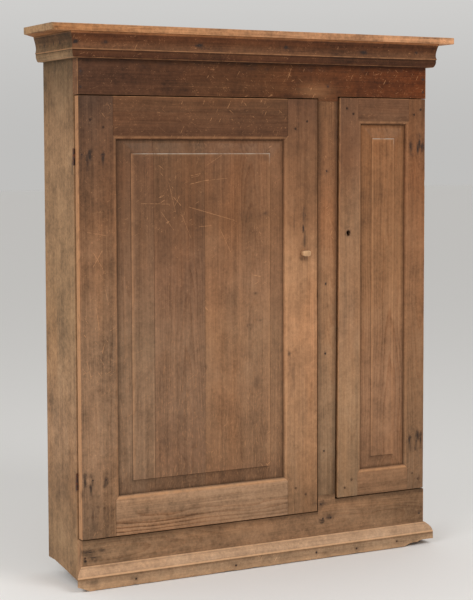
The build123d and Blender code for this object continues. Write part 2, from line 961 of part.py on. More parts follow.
# =====================================================================================
# Lock on the right door: iron case with a sliding bolt, and a wear plate on the stile
# =====================================================================================
lock_right = lock_left + lock_width
lock_back = door_thickness + lock_depth
lock_up = (keyhole_height - lock_half_height, keyhole_height + lock_half_height)
bolt_centre = keyhole_height + bolt_rise
slot_half_height = bolt_half_height + bolt_slot_clearance
with BuildPart() as lock_case:
    add_prism(rectangle_outline((lock_left, lock_right), lock_up), door_thickness, lock_depth)
    add_prism(
        rectangle_outline(
            (lock_left + lock_wall, lock_right - lock_wall),
            (lock_up[0] + lock_wall, lock_up[1] - lock_wall),
        ),
        door_thickness + lock_wall,
        lock_depth - 2 * lock_wall,
        Mode.SUBTRACT,
    )
    add_prism(
        rectangle_outline(
            (lock_left - 1, lock_left + lock_wall + 1),
            (bolt_centre - slot_half_height, bolt_centre + slot_half_height),
        ),
        bolt_front - bolt_slot_clearance,
        bolt_thickness + 2 * bolt_slot_clearance,
        Mode.SUBTRACT,
    )
    cut_keyhole(door_thickness + lock_wall)
save(lock_case.part, "lock_case")

with BuildPart() as lock_bolt:
    add_prism(
        rectangle_outline(
            (lock_left - bolt_proud, lock_left - bolt_proud + bolt_length),
            (bolt_centre - bolt_half_height, bolt_centre + bolt_half_height),
        ),
        bolt_front,
        bolt_thickness,
    )
save(lock_bolt.part, "lock_bolt")

lock_plate_right = stile_right_foot - 1
lock_plate_up = (lock_up[0] + 15, lock_up[1] + 5)
with BuildPart() as lock_plate:
    plate_outline = rectangle_outline((lock_plate_right - lock_plate_width, lock_plate_right), lock_plate_up)
    add_prism(plate_outline, front_thickness, lock_plate_thickness)
save(lock_plate.part, "lock_plate")
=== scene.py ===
import bmesh
import bpy
import json
import math
import random
from mathutils import Matrix, Vector, noise


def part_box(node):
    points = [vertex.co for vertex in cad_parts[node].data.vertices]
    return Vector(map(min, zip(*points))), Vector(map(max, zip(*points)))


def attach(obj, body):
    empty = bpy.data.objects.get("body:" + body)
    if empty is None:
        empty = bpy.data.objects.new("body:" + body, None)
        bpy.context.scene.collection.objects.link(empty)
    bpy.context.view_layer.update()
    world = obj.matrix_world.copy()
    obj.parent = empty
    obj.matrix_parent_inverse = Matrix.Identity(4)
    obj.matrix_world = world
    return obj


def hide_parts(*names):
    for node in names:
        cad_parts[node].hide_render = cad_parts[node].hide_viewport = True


# An old two-door pine cupboard: worn boards, framed doors with raised panels, a moulded
# cornice, a lighter top board and a chipped base moulding.  Metres, in the CAD's frame.

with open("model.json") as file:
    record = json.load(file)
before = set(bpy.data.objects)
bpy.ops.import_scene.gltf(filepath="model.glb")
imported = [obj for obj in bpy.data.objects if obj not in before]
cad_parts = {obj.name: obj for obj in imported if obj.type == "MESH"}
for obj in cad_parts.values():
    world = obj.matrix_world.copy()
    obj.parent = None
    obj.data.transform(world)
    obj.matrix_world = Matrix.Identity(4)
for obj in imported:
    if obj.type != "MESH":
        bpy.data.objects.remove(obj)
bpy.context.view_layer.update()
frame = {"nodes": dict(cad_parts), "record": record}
record_bodies = frame["record"]["behaviour"]["bodies"]
body_of_node = {node: body for body, nodes in record_bodies.items() for node in nodes}
MM = 0.001
DOORS = ("left_door", "right_door")

# ---- sizes that the looks need, beyond the frame's own ----
STUCK_MOULDING = 14 * MM
PANEL_REBATE = 11 * MM
FIELD_STEP_DEPTH = 6 * MM
FIELD_DEPTH = 4 * MM
STATION_STEP = 18 * MM
FALLOFF = 1.2 * MM
SHADE_REACH = 15 * MM


# ---- small helpers ----
def linear(colour):
    """0-255 display colour to linear, with alpha."""
    out = []
    for channel in colour:
        c = channel / 255
        out.append(c / 12.92 if c <= 0.04045 else ((c + 0.055) / 1.055) ** 2.4)
    return (*out, 1.0)


def wobble(seed, position, scale):
    """Smooth noise along a line, about -1 to 1."""
    return noise.noise(Vector((position * scale, seed * 3.71, seed * 1.37)))


def add_mesh(name, points, faces, wear_and_sheen, grime_and_painted_light, material, node, smooth):
    """One mesh piece with per-point wear and grime, which stands for a CAD node."""
    mesh = bpy.data.meshes.new(name)
    mesh.from_pydata([tuple(p) for p in points], [], faces)
    for label, values in (("wear_and_sheen", wear_and_sheen), ("grime_and_painted_light", grime_and_painted_light)):
        attribute = mesh.attributes.new(label, "FLOAT", "POINT")
        attribute.data.foreach_set("value", values)
    mesh.validate()
    tidy = bmesh.new()
    tidy.from_mesh(mesh)
    bmesh.ops.recalc_face_normals(tidy, faces=tidy.faces)
    tidy.to_mesh(mesh)
    tidy.free()
    for polygon in mesh.polygons:
        polygon.use_smooth = True
    mesh.set_sharp_from_angle(angle=math.radians(smooth))
    mesh.materials.append(material)
    piece = bpy.data.objects.new(name, mesh)
    bpy.context.scene.collection.objects.link(piece)
    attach(piece, body_of_node[node])
    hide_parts(node)
    return piece


class Shell:
    """Collects loops of points into closed skins, several to a mesh."""

    def __init__(self):
        self.points = []
        self.faces = []
        self.wear_and_sheen = []
        self.grime_and_painted_light = []

    def skin(self, rings, wear_and_sheen, grime_and_painted_light):
        """Rings of equal length, joined in order; wear and grime are per ring and point."""
        start = len(self.points)
        count = len(rings[0])
        for ring, worn, dirt_and_painted_light in zip(rings, wear_and_sheen, grime_and_painted_light):
            self.points.extend(ring)
            self.wear_and_sheen.extend(worn)
            self.grime_and_painted_light.extend(dirt_and_painted_light)
        for r in range(len(rings) - 1):
            for k in range(count):
                a = start + r * count + k
                b = start + r * count + (k + 1) % count
                self.faces.append((a, b, b + count, a + count))
        last = start + (len(rings) - 1) * count
        self.faces.append(tuple(range(start, start + count)))
        self.faces.append(tuple(range(last, last + count)))

    def build(self, node, material, smooth=32, name=None):
        name = name or f"old_{node}"
        return add_mesh(
            name, self.points, self.faces, self.wear_and_sheen, self.grime_and_painted_light, material, node, smooth
        )


def islands(node):
    """Boxes of the separate solids in one CAD node, in the frame."""
    work = bmesh.new()
    work.from_mesh(frame["nodes"][node].data)
    bmesh.ops.remove_doubles(work, verts=work.verts, dist=1e-6)
    seen = set()
    found = []
    for vert in work.verts:
        if vert in seen:
            continue
        stack = [vert]
        seen.add(vert)
        low = Vector(vert.co)
        high = Vector(vert.co)
        while stack:
            current = stack.pop()
            low = Vector(map(min, low, current.co))
            high = Vector(map(max, high, current.co))
            for edge in current.link_edges:
                other = edge.other_vert(current)
                if other not in seen:
                    seen.add(other)
                    stack.append(other)
        found.append((low, high))
    work.free()
    return sorted(found, key=lambda pair: tuple(round(v, 5) for v in pair[0]))


# ---- node building ----
class Graph:
    """Short calls for building one material's nodes."""

    def __init__(self, name):
        self.material = bpy.data.materials.new(name)
        self.material.use_nodes = True
        self.tree = self.material.node_tree
        self.tree.nodes.clear()

    def node(self, kind, **settings):
        made = self.tree.nodes.new(kind)
        for key, value in settings.items():
            setattr(made, key, value)
        return made

    def put(self, socket, value):
        if isinstance(value, bpy.types.NodeSocket):
            self.tree.links.new(value, socket)
        elif value is not None:
            socket.default_value = value

    def math(self, operation, a, b=None, c=None, clamp=False):
        made = self.node("ShaderNodeMath", operation=operation, use_clamp=clamp)
        for socket, value in zip(made.inputs, (a, b, c)):
            self.put(socket, value)
        return made.outputs[0]

    def times(self, a, b, clamp=False):
        return self.math("MULTIPLY", a, b, clamp=clamp)

    def swing(self, noise_value, amount):
        """Noise about its middle, times an amount."""
        return self.times(self.math("SUBTRACT", noise_value, 0.5), amount)

    def oval(self, u, mid_u, half_u, v, mid_v, half_v):
        """Squared distance from a point, in shares of two half sizes."""
        du = self.times(self.math("SUBTRACT", u, mid_u), 1 / half_u)
        dv = self.times(self.math("SUBTRACT", v, mid_v), 1 / half_v)
        return self.math("ADD", self.times(du, du), self.times(dv, dv))

    def total(self, *values):
        result = values[0]
        for value in values[1:]:
            result = self.math("ADD", result, value)
        return result

    def span(self, value, low, high, to_low=0.0, to_high=1.0):
        """Clamped smooth remap."""
        made = self.node("ShaderNodeMapRange", interpolation_type="SMOOTHSTEP")
        for socket, v in zip(made.inputs, (value, low, high, to_low, to_high)):
            self.put(socket, v)
        return made.outputs[0]

    def vector(self, x, y, z):
        made = self.node("ShaderNodeCombineXYZ")
        for socket, v in zip(made.inputs, (x, y, z)):
            self.put(socket, v)
        return made.outputs[0]

    def noise(self, vector, detail=2.0, roughness=0.5, scale=1.0, distortion=0.0):
        made = self.node("ShaderNodeTexNoise")
        self.put(made.inputs["Vector"], vector)
        made.inputs["Scale"].default_value = scale
        made.inputs["Detail"].default_value = detail
        made.inputs["Roughness"].default_value = roughness
        made.inputs["Distortion"].default_value = distortion
        return made.outputs["Fac"]

    def ramp(self, factor, stops):
        made = self.node("ShaderNodeValToRGB")
        elements = made.color_ramp.elements
        while len(elements) < len(stops):
            elements.new(0.5)
        for element, (place, colour) in zip(elements, stops):
            element.position = place
            element.color = colour
        self.put(made.inputs[0], factor)
        return made.outputs[0]

    def mix(self, factor, a, b, blend="MIX"):
        made = self.node("ShaderNodeMix", data_type="RGBA", blend_type=blend)
        self.put(made.inputs[0], factor)
        self.put(made.inputs[6], a)
        self.put(made.inputs[7], b)
        return made.outputs[2]

    def scaled(self, colour, amount):
        """Colour times a number."""
        made = self.node("ShaderNodeVectorMath", operation="SCALE")
        self.put(made.inputs[0], colour)
        self.put(made.inputs["Scale"], amount)
        return made.outputs[0]

    def attribute(self, name):
        made = self.node("ShaderNodeAttribute", attribute_name=name)
        return made.outputs["Fac"]

    def finish(self, colour, roughness, height, depth, specular=0.16, metallic=0.0):
        surface = self.node("ShaderNodeBsdfPrincipled")
        self.put(surface.inputs["Base Color"], colour)
        self.put(surface.inputs["Roughness"], roughness)
        surface.inputs["Specular IOR Level"].default_value = specular
        surface.inputs["Metallic"].default_value = metallic
        bump = self.node("ShaderNodeBump")
        bump.inputs["Strength"].default_value = 1.0
        bump.inputs["Distance"].default_value = depth
        self.put(bump.inputs["Height"], height)
        self.tree.links.new(bump.outputs[0], surface.inputs["Normal"])
        output = self.node("ShaderNodeOutputMaterial")
        self.tree.links.new(surface.outputs[0], output.inputs[0])
        return self.material


AXIS = {"x": 0, "y": 1, "z": 2}
WEAR_ORANGE = (196, 142, 98)
# dark of the stains and painted shadows
STAIN_SHADOW_DARK = (50, 40, 35)
# grey of the painted highlight along edges that face up
HIGHLIGHT_GREY = (176, 163, 148)
BUMP_DEPTH = 0.0007


def old_wood(
    name, grain, box, tones, seed, tone_axis="z", ring=0.0045, figure=1.0, streaks=1.0, dirt=1.0,
    scratches=0.5, knots=(), knot_dark=0.75, stains=(), pales=(), strokes=(),
    wear_colour=WEAR_ORANGE, wear_amount=1.0, roughness=0.74, dashes=None, figure_band=None,
    swirl=1.0,
):
    """Dry old pine.  grain names the axes along, across and through the board; tones are
    (place along tone_axis, colour); knots are (across, along, radius), as dark as
    knot_dark; stains are stains and painted shadows, as (face across, face
    up, half width, half height, strength), the halves in millimetres; pales are dusty
    patches, the same in metres; strokes are scratches, as (from x, z, to x, z, half
    width); dashes are pale broken fibres, as (none above, most below, strength);
    figure_band is (plain above, strong below) for the growth rings."""
    g = Graph(name)
    chance = random.Random(seed)
    low, high = box
    coords = g.node("ShaderNodeTexCoord").outputs["Object"]
    parts = g.node("ShaderNodeSeparateXYZ")
    g.put(parts.inputs[0], coords)
    place = {axis: parts.outputs[AXIS[axis]] for axis in "xyz"}
    along, across, through = (place[axis] for axis in grain)
    mid_along, mid_across, mid_through = (
        (low[AXIS[axis]] + high[AXIS[axis]]) / 2 for axis in grain
    )
    shift = [chance.uniform(3, 90) for _ in range(3)]

    def cloud(across_scale, along_scale, detail=2.0, rough=0.55, extra=0.0):
        return g.noise(
            g.vector(
                g.math("MULTIPLY_ADD", across, across_scale, shift[0] + extra),
                g.math("MULTIPLY_ADD", through, across_scale, shift[1]),
                g.math("MULTIPLY_ADD", along, along_scale, shift[2]),
            ),
            detail, rough,
        )

    # growth rings: cones round a pith behind the board, pushed about by noise and knots
    pith_across = mid_across + chance.uniform(-0.03, 0.03)
    pith_through = mid_through + chance.choice((-1, 1)) * chance.uniform(0.05, 0.11)
    taper = chance.choice((-1, 1)) * chance.uniform(0.012, 0.03)
    sway = g.swing(cloud(4, 1.3), 0.05)
    ripple = g.swing(cloud(22, 5, extra=7), 0.006 * swirl)
    dx = g.math("SUBTRACT", across, pith_across)
    pith_line = g.math("MULTIPLY_ADD", along, taper, pith_through - taper * mid_along)
    dd = g.math("SUBTRACT", through, pith_line)
    radius = g.math("SQRT", g.math("ADD", g.times(dx, dx), g.times(dd, dd)))
    radius = g.total(radius, sway, ripple)
    knot_core = 0.0
    for knot_across, knot_along, knot_radius in knots:
        square = g.oval(across, knot_across, knot_radius, along, knot_along, knot_radius / 0.75)
        pull = g.math("EXPONENT", g.times(square, -0.16))
        radius = g.math("MULTIPLY_ADD", pull, 0.022, radius)
        core = g.math("EXPONENT", g.times(square, -1.6))
        knot_core = g.math("MAXIMUM", knot_core, core)
    phase = g.math("FRACT", g.math("DIVIDE", radius, ring))
    late = g.ramp(
        phase,
        [
            (0.0, (0, 0, 0, 1)), (0.55, (0.25, 0.25, 0.25, 1)), (0.86, (1, 1, 1, 1)),
            (0.97, (0, 0, 0, 1)),
        ],
    )
    ring_strength = g.span(cloud(9, 1.5, extra=21), 0.35, 0.7, 0.25, 1.0)
    late = g.times(late, ring_strength)
    if figure_band:
        late = g.times(late, g.span(place["z"], figure_band[1], figure_band[0], 1.0, 0.12))

    fibre = cloud(430, 7, 3, 0.7, extra=3)
    streak = cloud(75, 1.1, 3, 0.6, extra=11)
    broad = cloud(17, 0.8, 3, 0.6, extra=31)
    blotch = g.noise(g.vector(*(g.math("ADD", place[a], shift[0]) for a in "xyz")), 5, 0.62, 7.0)
    spot_place = g.vector(*(g.math("ADD", place[a], shift[1]) for a in "xyz"))
    mottle = g.noise(spot_place, 4, 0.65, 24.0)
    speck = g.noise(spot_place, 3, 0.7, 95.0)

    value = g.total(
        1.0, g.times(g.math("SUBTRACT", late, 0.22), -0.24 * figure), g.swing(fibre, 0.6 * streaks),
        g.swing(streak, 0.75 * streaks), g.swing(broad, 0.5 * streaks), g.swing(blotch, 0.9 * dirt),
        g.swing(mottle, 0.6 * dirt), g.swing(speck, 0.75 * dirt),
    )
    value = g.math("MAXIMUM", value, 0.4)

    start, end = tones[0][0], tones[-1][0]
    tone_factor = g.math(
        "DIVIDE", g.math("SUBTRACT", place[tone_axis], start), max(end - start, 1e-3), clamp=True
    )
    tone = g.ramp(
        tone_factor, [((p - start) / max(end - start, 1e-3), linear(c)) for p, c in tones]
    )
    colour = g.scaled(tone, value)
    # dark latewood and damp patches are redder than the open grain
    redder = g.mix(1.0, colour, (1.06, 0.93, 0.84, 1), "MULTIPLY")
    colour = g.mix(g.times(late, 0.6 * figure), colour, redder)
    warm = g.mix(1.0, colour, (1.07, 0.99, 0.91, 1), "MULTIPLY")
    colour = g.mix(g.span(cloud(6, 1.2, 3, 0.6, extra=53), 0.45, 0.7), colour, warm)
    grey = g.mix(1.0, colour, (0.95, 1.0, 1.05, 1), "MULTIPLY")
    colour = g.mix(g.span(blotch, 0.5, 0.72, 0, 0.8), colour, grey)

    # light scratches at two slants and small dark dents
    hurt = 0.0
    for turn, reach, extra in ((0.5, 0.70, 5.0), (-0.9, 0.715, 17.0), (1.25, 0.72, 29.0)):
        c, s = math.cos(turn), math.sin(turn)
        u = g.math("ADD", g.times(across, c), g.times(along, s))
        v = g.math("SUBTRACT", g.times(along, c), g.times(across, s))
        line = g.noise(
            g.vector(
                g.math("MULTIPLY_ADD", u, 26, extra + shift[2]),
                g.math("MULTIPLY_ADD", v, 210, extra), g.times(through, 60),
            ),
            2, 0.5,
        )
        hurt = g.math("MAXIMUM", hurt, g.span(line, reach, reach + 0.035))
    patchy = g.span(cloud(4, 3.1, 2, 0.5, extra=77), 0.42, 0.62)
    hurt = g.times(g.times(hurt, patchy), scratches, clamp=True)
    # the longer scratches, each a broken line between two points of the face
    for u0, v0, u1, v1, half in strokes:
        du = g.math("SUBTRACT", place["x"], u0)
        dv = g.math("SUBTRACT", place["z"], v0)
        run_u, run_v = u1 - u0, v1 - v0
        length = run_u**2 + run_v**2
        t = g.times(g.math("MULTIPLY_ADD", dv, run_v, g.times(du, run_u)), 1 / length, clamp=True)
        off_u = g.math("MULTIPLY_ADD", t, -run_u, du)
        off_v = g.math("MULTIPLY_ADD", t, -run_v, dv)
        off = g.math("ADD", g.times(off_u, off_u), g.times(off_v, off_v))
        cut = g.span(g.math("SQRT", off), half, half * 0.3)
        hurt = g.math("MAXIMUM", hurt, g.times(cut, g.span(speck, 0.36, 0.5, 0.25, 0.9)))
    # short nicks and flecks where the dirty skin has gone
    nick_place = g.vector(g.times(across, 1.7), through, g.times(along, 0.8))
    nick = g.noise(nick_place, 1, 0.5, 150.0, distortion=1.4)
    flecks = g.times(g.span(nick, 0.66, 0.72), g.span(mottle, 0.46, 0.6), clamp=True)
    hurt = g.math("MAXIMUM", hurt, g.times(flecks, min(1.0, 0.25 + 0.5 * scratches)))
    if dashes:
        clear, most, strength = dashes
        dash = g.span(cloud(330, 42, 3, 0.6, extra=67), 0.56, 0.68)
        dash = g.times(dash, g.span(place["z"], most, clear, strength, 0.0))
        hurt = g.math("MAXIMUM", hurt, dash)
    lighter = g.mix(0.5, g.scaled(colour, 1.5), linear(wear_colour))
    colour = g.mix(hurt, colour, lighter)
    dent = g.span(speck, 0.66, 0.74)
    colour = g.mix(g.times(dent, 0.55), colour, g.scaled(colour, 0.4))

    # knots
    if knots and knot_dark:
        core = g.span(knot_core, 0.35, 0.8)
        colour = g.mix(g.times(core, knot_dark), colour, linear((70, 42, 28)))

    # dusty, lighter patches
    for u, v, half_u, half_v, strength in pales:
        square = g.oval(place["x"], u, half_u, place["z"], v, half_v)
        spot = g.times(g.math("EXPONENT", g.times(square, -1)), strength)
        spot = g.times(spot, g.span(cloud(40, 6, 3, 0.6, extra=71), 0.35, 0.6, 0.4))
        colour = g.mix(spot, colour, g.scaled(g.mix(0.3, colour, linear(wear_colour)), 1.15))

    # local stains and painted shadows, with ragged outlines
    stain = 0.0
    face_u = place["y"] if grain[2] == "x" else place["x"]
    if stains:
        patch_edge = g.span(g.noise(spot_place, 3, 0.6, 38.0), 0.34, 0.66, -0.3, -2.2)
    for u, v, half_u, half_v, strength in stains:
        square = g.oval(face_u, u, half_u * MM, place["z"], v, half_v * MM)
        spot = g.math("EXPONENT", g.times(square, patch_edge))
        stain = g.math("MAXIMUM", stain, g.times(spot, strength))
    if stains:
        uneven = g.span(cloud(70, 8, 3, 0.6, extra=91), 0.32, 0.6, 0.35, 1.15)
        stain = g.times(stain, uneven, clamp=True)
        colour = g.mix(stain, colour, linear(STAIN_SHADOW_DARK))

    # worn arrises, in places a painted highlight, from the mesh
    patches = g.span(g.noise(spot_place, 4, 0.6, 30.0), 0.32, 0.6, 0.4)
    worn = g.times(g.attribute("wear_and_sheen"), patches)
    worn = g.times(worn, wear_amount, clamp=True)
    colour = g.mix(worn, colour, g.mix(0.6, g.scaled(colour, 1.35), linear(wear_colour)))
    # where grime_and_painted_light is negative, a painted grey highlight
    painted_highlight = g.times(g.times(g.attribute("grime_and_painted_light"), -1), patches, clamp=True)
    colour = g.mix(painted_highlight, colour, linear(HIGHLIGHT_GREY))
    # where it is positive, grime, and painted shade in corners and under edges
    dirt_and_painted_light = g.times(g.attribute("grime_and_painted_light"), 1.0, clamp=True)
    colour = g.mix(g.times(dirt_and_painted_light, 0.7), colour, g.scaled(colour, 0.35))

    height = g.total(
        g.times(late, 0.35 * figure), g.times(fibre, 0.45), g.times(streak, 0.35),
        g.times(hurt, -0.6), g.times(dent, -0.9),
    )
    rough = g.math("MULTIPLY_ADD", g.math("SUBTRACT", blotch, 0.5), 0.35, roughness)
    rough = g.math("SUBTRACT", rough, g.times(worn, 0.08), clamp=True)
    return g.finish(colour, rough, height, BUMP_DEPTH)


def rusty_iron(name, seed, base=(58, 44, 38), rust=(112, 66, 40)):
    """Forged iron under brown rust, pitted."""
    g = Graph(name)
    coords = g.node("ShaderNodeTexCoord").outputs["Object"]
    moved = g.node("ShaderNodeVectorMath", operation="ADD")
    g.put(moved.inputs[0], coords)
    moved.inputs[1].default_value = (seed, seed * 0.7, seed * 0.3)
    patches = g.noise(moved.outputs[0], 5, 0.65, 90)
    pits = g.noise(moved.outputs[0], 4, 0.7, 900)
    colour = g.mix(g.span(patches, 0.42, 0.62), linear(base), linear(rust))
    colour = g.scaled(colour, g.math("MULTIPLY_ADD", pits, 1.0, 0.5))
    rough = g.span(patches, 0.35, 0.65, 0.45, 0.85)
    height = g.math("ADD", g.times(pits, 0.6), g.times(patches, 0.5))
    return g.finish(colour, rough, height, 0.0004, specular=0.5, metallic=0.35)


# ---- board meshes ----
def plank(
    node, grain, material, seed, radius=1.8 * MM, nicks=1.0, low_edge=None, high_edge=None,
    limits=None, breaks=(), into=None, hollow=0.25 * MM, step=STATION_STEP, soft=(1.0, 1.0),
    worn=(0.5, 0.5), bare=(0.0, 0.0), ends=(0.3, 0.0, 1.0), end_arris=0.0, shades=(0.0, 0.0),
):
    """A board with softened, nicked arrises inside its CAD box.  low_edge and high_edge
    give the across limits at a place along; limits overrides the box.  soft, worn and
    bare are the rounding, arris wear and edge-face wear of the low and high edges; ends
    is the wear, grime and inset (mm) of the two ends, and end_arris the wear of their
    arrises; shades is the painted shadow that fades in from the low and high edges of
    the front."""
    low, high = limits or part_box(node)
    a_axis, l_axis, d_axis = AXIS[grain[1]], AXIS[grain[0]], AXIS[grain[2]]
    l0, l1 = low[l_axis], high[l_axis]
    d0, d1 = low[d_axis], high[d_axis]
    low_edge = low_edge or (lambda _: low[a_axis])
    high_edge = high_edge or (lambda _: high[a_axis])
    count = max(2, math.ceil((l1 - l0) / step))
    places = [l0 + (l1 - l0) * k / count for k in range(count + 1)]
    places += [p + s for p in breaks for s in (-0.1 * MM, 0.1 * MM)]
    end_round = 1.2 * MM
    places = sorted(p for p in places if l0 + 4 * end_round < p < l1 - 4 * end_round)
    near_ends = (l0 + 3 * end_round, l1 - 3 * end_round)
    places = [l0, l0 + end_round, near_ends[0], *places, near_ends[1], l1 - end_round, l1]
    width = high[a_axis] - low[a_axis]
    inner = max(0, round(width / (60 * MM)) - 1)
    thin = d1 - d0
    rings, wear_and_sheen, grime_and_painted_light = [], [], []
    for index, l in enumerate(places):
        at_end = index in (0, len(places) - 1)
        inset = ends[2] * MM if at_end else 0.0
        a0, a1 = low_edge(l) + inset, high_edge(l) - inset
        f0, f1 = d0 + inset, d1 - inset
        ring, marks, cast_shade = [], [], []
        corners = (
            (a0, f0, 1, 1, math.pi, 1.5 * math.pi), (a1, f0, -1, 1, 1.5 * math.pi, 2 * math.pi),
            (a1, f1, -1, -1, 0, 0.5 * math.pi), (a0, f1, 1, -1, 0.5 * math.pi, math.pi),
        )
        for k, (ca, cd, sa, sd, t0, t1) in enumerate(corners):
            rough = 0.75 + 0.55 * wobble(seed + k * 5, l, 23)
            nick = max(0.0, wobble(seed + k * 11 + 3, l, 47) - 0.42) * 9 * MM * nicks
            side = 0 if k in (0, 3) else 1
            r = min((radius * rough + nick) * soft[side], thin * 0.4, (a1 - a0) * 0.4)
            r = max(r, 0.08 * MM)
            edge_first = k in (0, 2)
            for t in (0.0, 0.5, 1.0):
                angle = t0 + (t1 - t0) * t
                ring.append((ca + sa * r + r * math.cos(angle), cd + sd * r + r * math.sin(angle)))
                by_edge = t == (0.0 if edge_first else 1.0)
                marks.append(
                    worn[side] if t == 0.5 else bare[side] if by_edge else 0.3 * worn[side]
                )
                # shades: a painted shadow at the front face's corner points
                cast_shade.append(shades[side] if cd == f0 else 0.0)
            # after the first corner of each face, the stops across that face
            if edge_first:
                here, there, face, way = (a0, a1, f0, 1) if k == 0 else (a1, a0, f1, -1)
                reach = min(radius + FALLOFF, (a1 - a0) * 0.45)
                inset_by = min(reach + SHADE_REACH, (a1 - a0) * 0.48)
                stops = [here + way * reach, here + way * inset_by]
                for m in range(inner):
                    stops.append(here + (there - here) * (m + 1) / (inner + 1))
                stops += [there - way * inset_by, there - way * reach]
                # the painted shadow fades out across the front over SHADE_REACH
                dark = [0.0] * len(stops)
                if k == 0:
                    dark[0], dark[-1] = shades
                cast_shade.extend(dark)
                for m, stop in enumerate(stops):
                    dip = hollow * (0.5 + 0.5 * wobble(seed + 40 + m + k, l, 3.1))
                    ring.append((stop, face + way * dip))
                    marks.append(0.0)
        points = []
        for a, d in ring:
            p = [0.0, 0.0, 0.0]
            p[l_axis], p[a_axis], p[d_axis] = l, a, d
            points.append(Vector(p))
        rings.append(points)
        by_end = index in (0, 1, len(places) - 2, len(places) - 1)
        if by_end:
            marks = [ends[0] if at_end else max(mark, end_arris) for mark in marks]
        wear_and_sheen.append(marks)
        grime_and_painted_light.append([max(ends[1], dark) for dark in cast_shade] if by_end else cast_shade)
    shell = into or Shell()
    shell.skin(rings, wear_and_sheen, grime_and_painted_light)
    if into is None:
        return shell.build(node, material)
    return shell


def moulding_run(node, direction, section, material, seed, ends, chips=None, step=8 * MM):
    """A moulding swept along a wall.  section is (reach, height, wear, grime); direction
    is front, left or right; ends say how far the reach shifts each end."""
    low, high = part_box(node)
    along = 0 if direction == "front" else 1
    base = {"front": high[1], "left": high[0], "right": low[0]}[direction]
    outward = {"front": -1, "left": -1, "right": 1}[direction]
    reach_max = max(p[0] for p in section)
    l0 = low[along] + (reach_max if ends[0] else 0)
    l1 = high[along] - (reach_max if ends[1] else 0)
    count = max(2, math.ceil((l1 - l0) / step))
    rings, wear_and_sheen, grime_and_painted_light = [], [], []
    for k in range(count + 1):
        t = k / count
        ring = []
        for index, (reach, up, worn, _) in enumerate(section):
            l = (l0 - ends[0] * reach) * (1 - t) + (l1 + ends[1] * reach) * t
            rub = 0.4 * MM * (1 + wobble(seed + index * 0.37, l, 31)) if reach > 1 * MM else 0.0
            rub += 4 * MM * min(1.0, worn) * max(0.0, wobble(seed + 51, l, 38) - 0.3)
            z = low[2] + up
            if chips:
                z += chips(l, up)
            out = max(0.0, reach - rub)
            p = [0.0, 0.0, z]
            p[along] = l
            p[1 - along] = base + outward * out
            ring.append(Vector(p))
        rings.append(ring)
        wear_and_sheen.append([point[2] for point in section])
        grime_and_painted_light.append([point[3] for point in section])
    shell = Shell()
    shell.skin(rings, wear_and_sheen, grime_and_painted_light)
    return shell.build(node, material, smooth=28)


def bowed(start, middle, end, count):
    """Points of a curve that passes through a middle point."""
    control = [2 * middle[i] - (start[i] + end[i]) / 2 for i in (0, 1)]
    out = []
    for k in range(1, count):
        t = k / count
        out.append(
            tuple(
                (1 - t) ** 2 * start[i] + 2 * t * (1 - t) * control[i] + t * t * end[i]
                for i in (0, 1)
            )
        )
    return out


def nail_heads(node, material, facing, seed, radius=3.4 * MM, proud=0.9 * MM):
    """Hammered heads, each a little different, on the front of a node's nails."""
    shell = Shell()
    chance = random.Random(seed)
    for low, high in islands(node):
        side_nail = facing == "auto" and (high[0] - low[0]) > (high[1] - low[1])
        axis = 0 if side_nail else 1
        centre = (low + high) / 2
        face = low[axis]
        around = 9
        turn = chance.uniform(0, 6)
        size = radius * chance.uniform(0.85, 1.1)
        rings, wear_and_sheen, grime_and_painted_light = [], [], []
        for depth, share in (
            (proud * 2.2, 0.5), (proud * 2.0, 1.0), (proud * 0.8, 1.0), (0.0, 0.62)
        ):
            ring = []
            for k in range(around):
                angle = turn + 2 * math.pi * k / around
                r = size * share * (1 + 0.14 * math.sin(3 * angle + turn * 5))
                p = [centre[0], centre[1], centre[2] + r * math.sin(angle)]
                p[1 - axis] += r * math.cos(angle)
                p[axis] = face + depth
                ring.append(Vector(p))
            rings.append(ring)
            wear_and_sheen.append([0.0] * around)
            grime_and_painted_light.append([0.0] * around)
        shell.skin(rings, wear_and_sheen, grime_and_painted_light)
    return shell.build(node, material, smooth=50, name=f"heads_{node}")


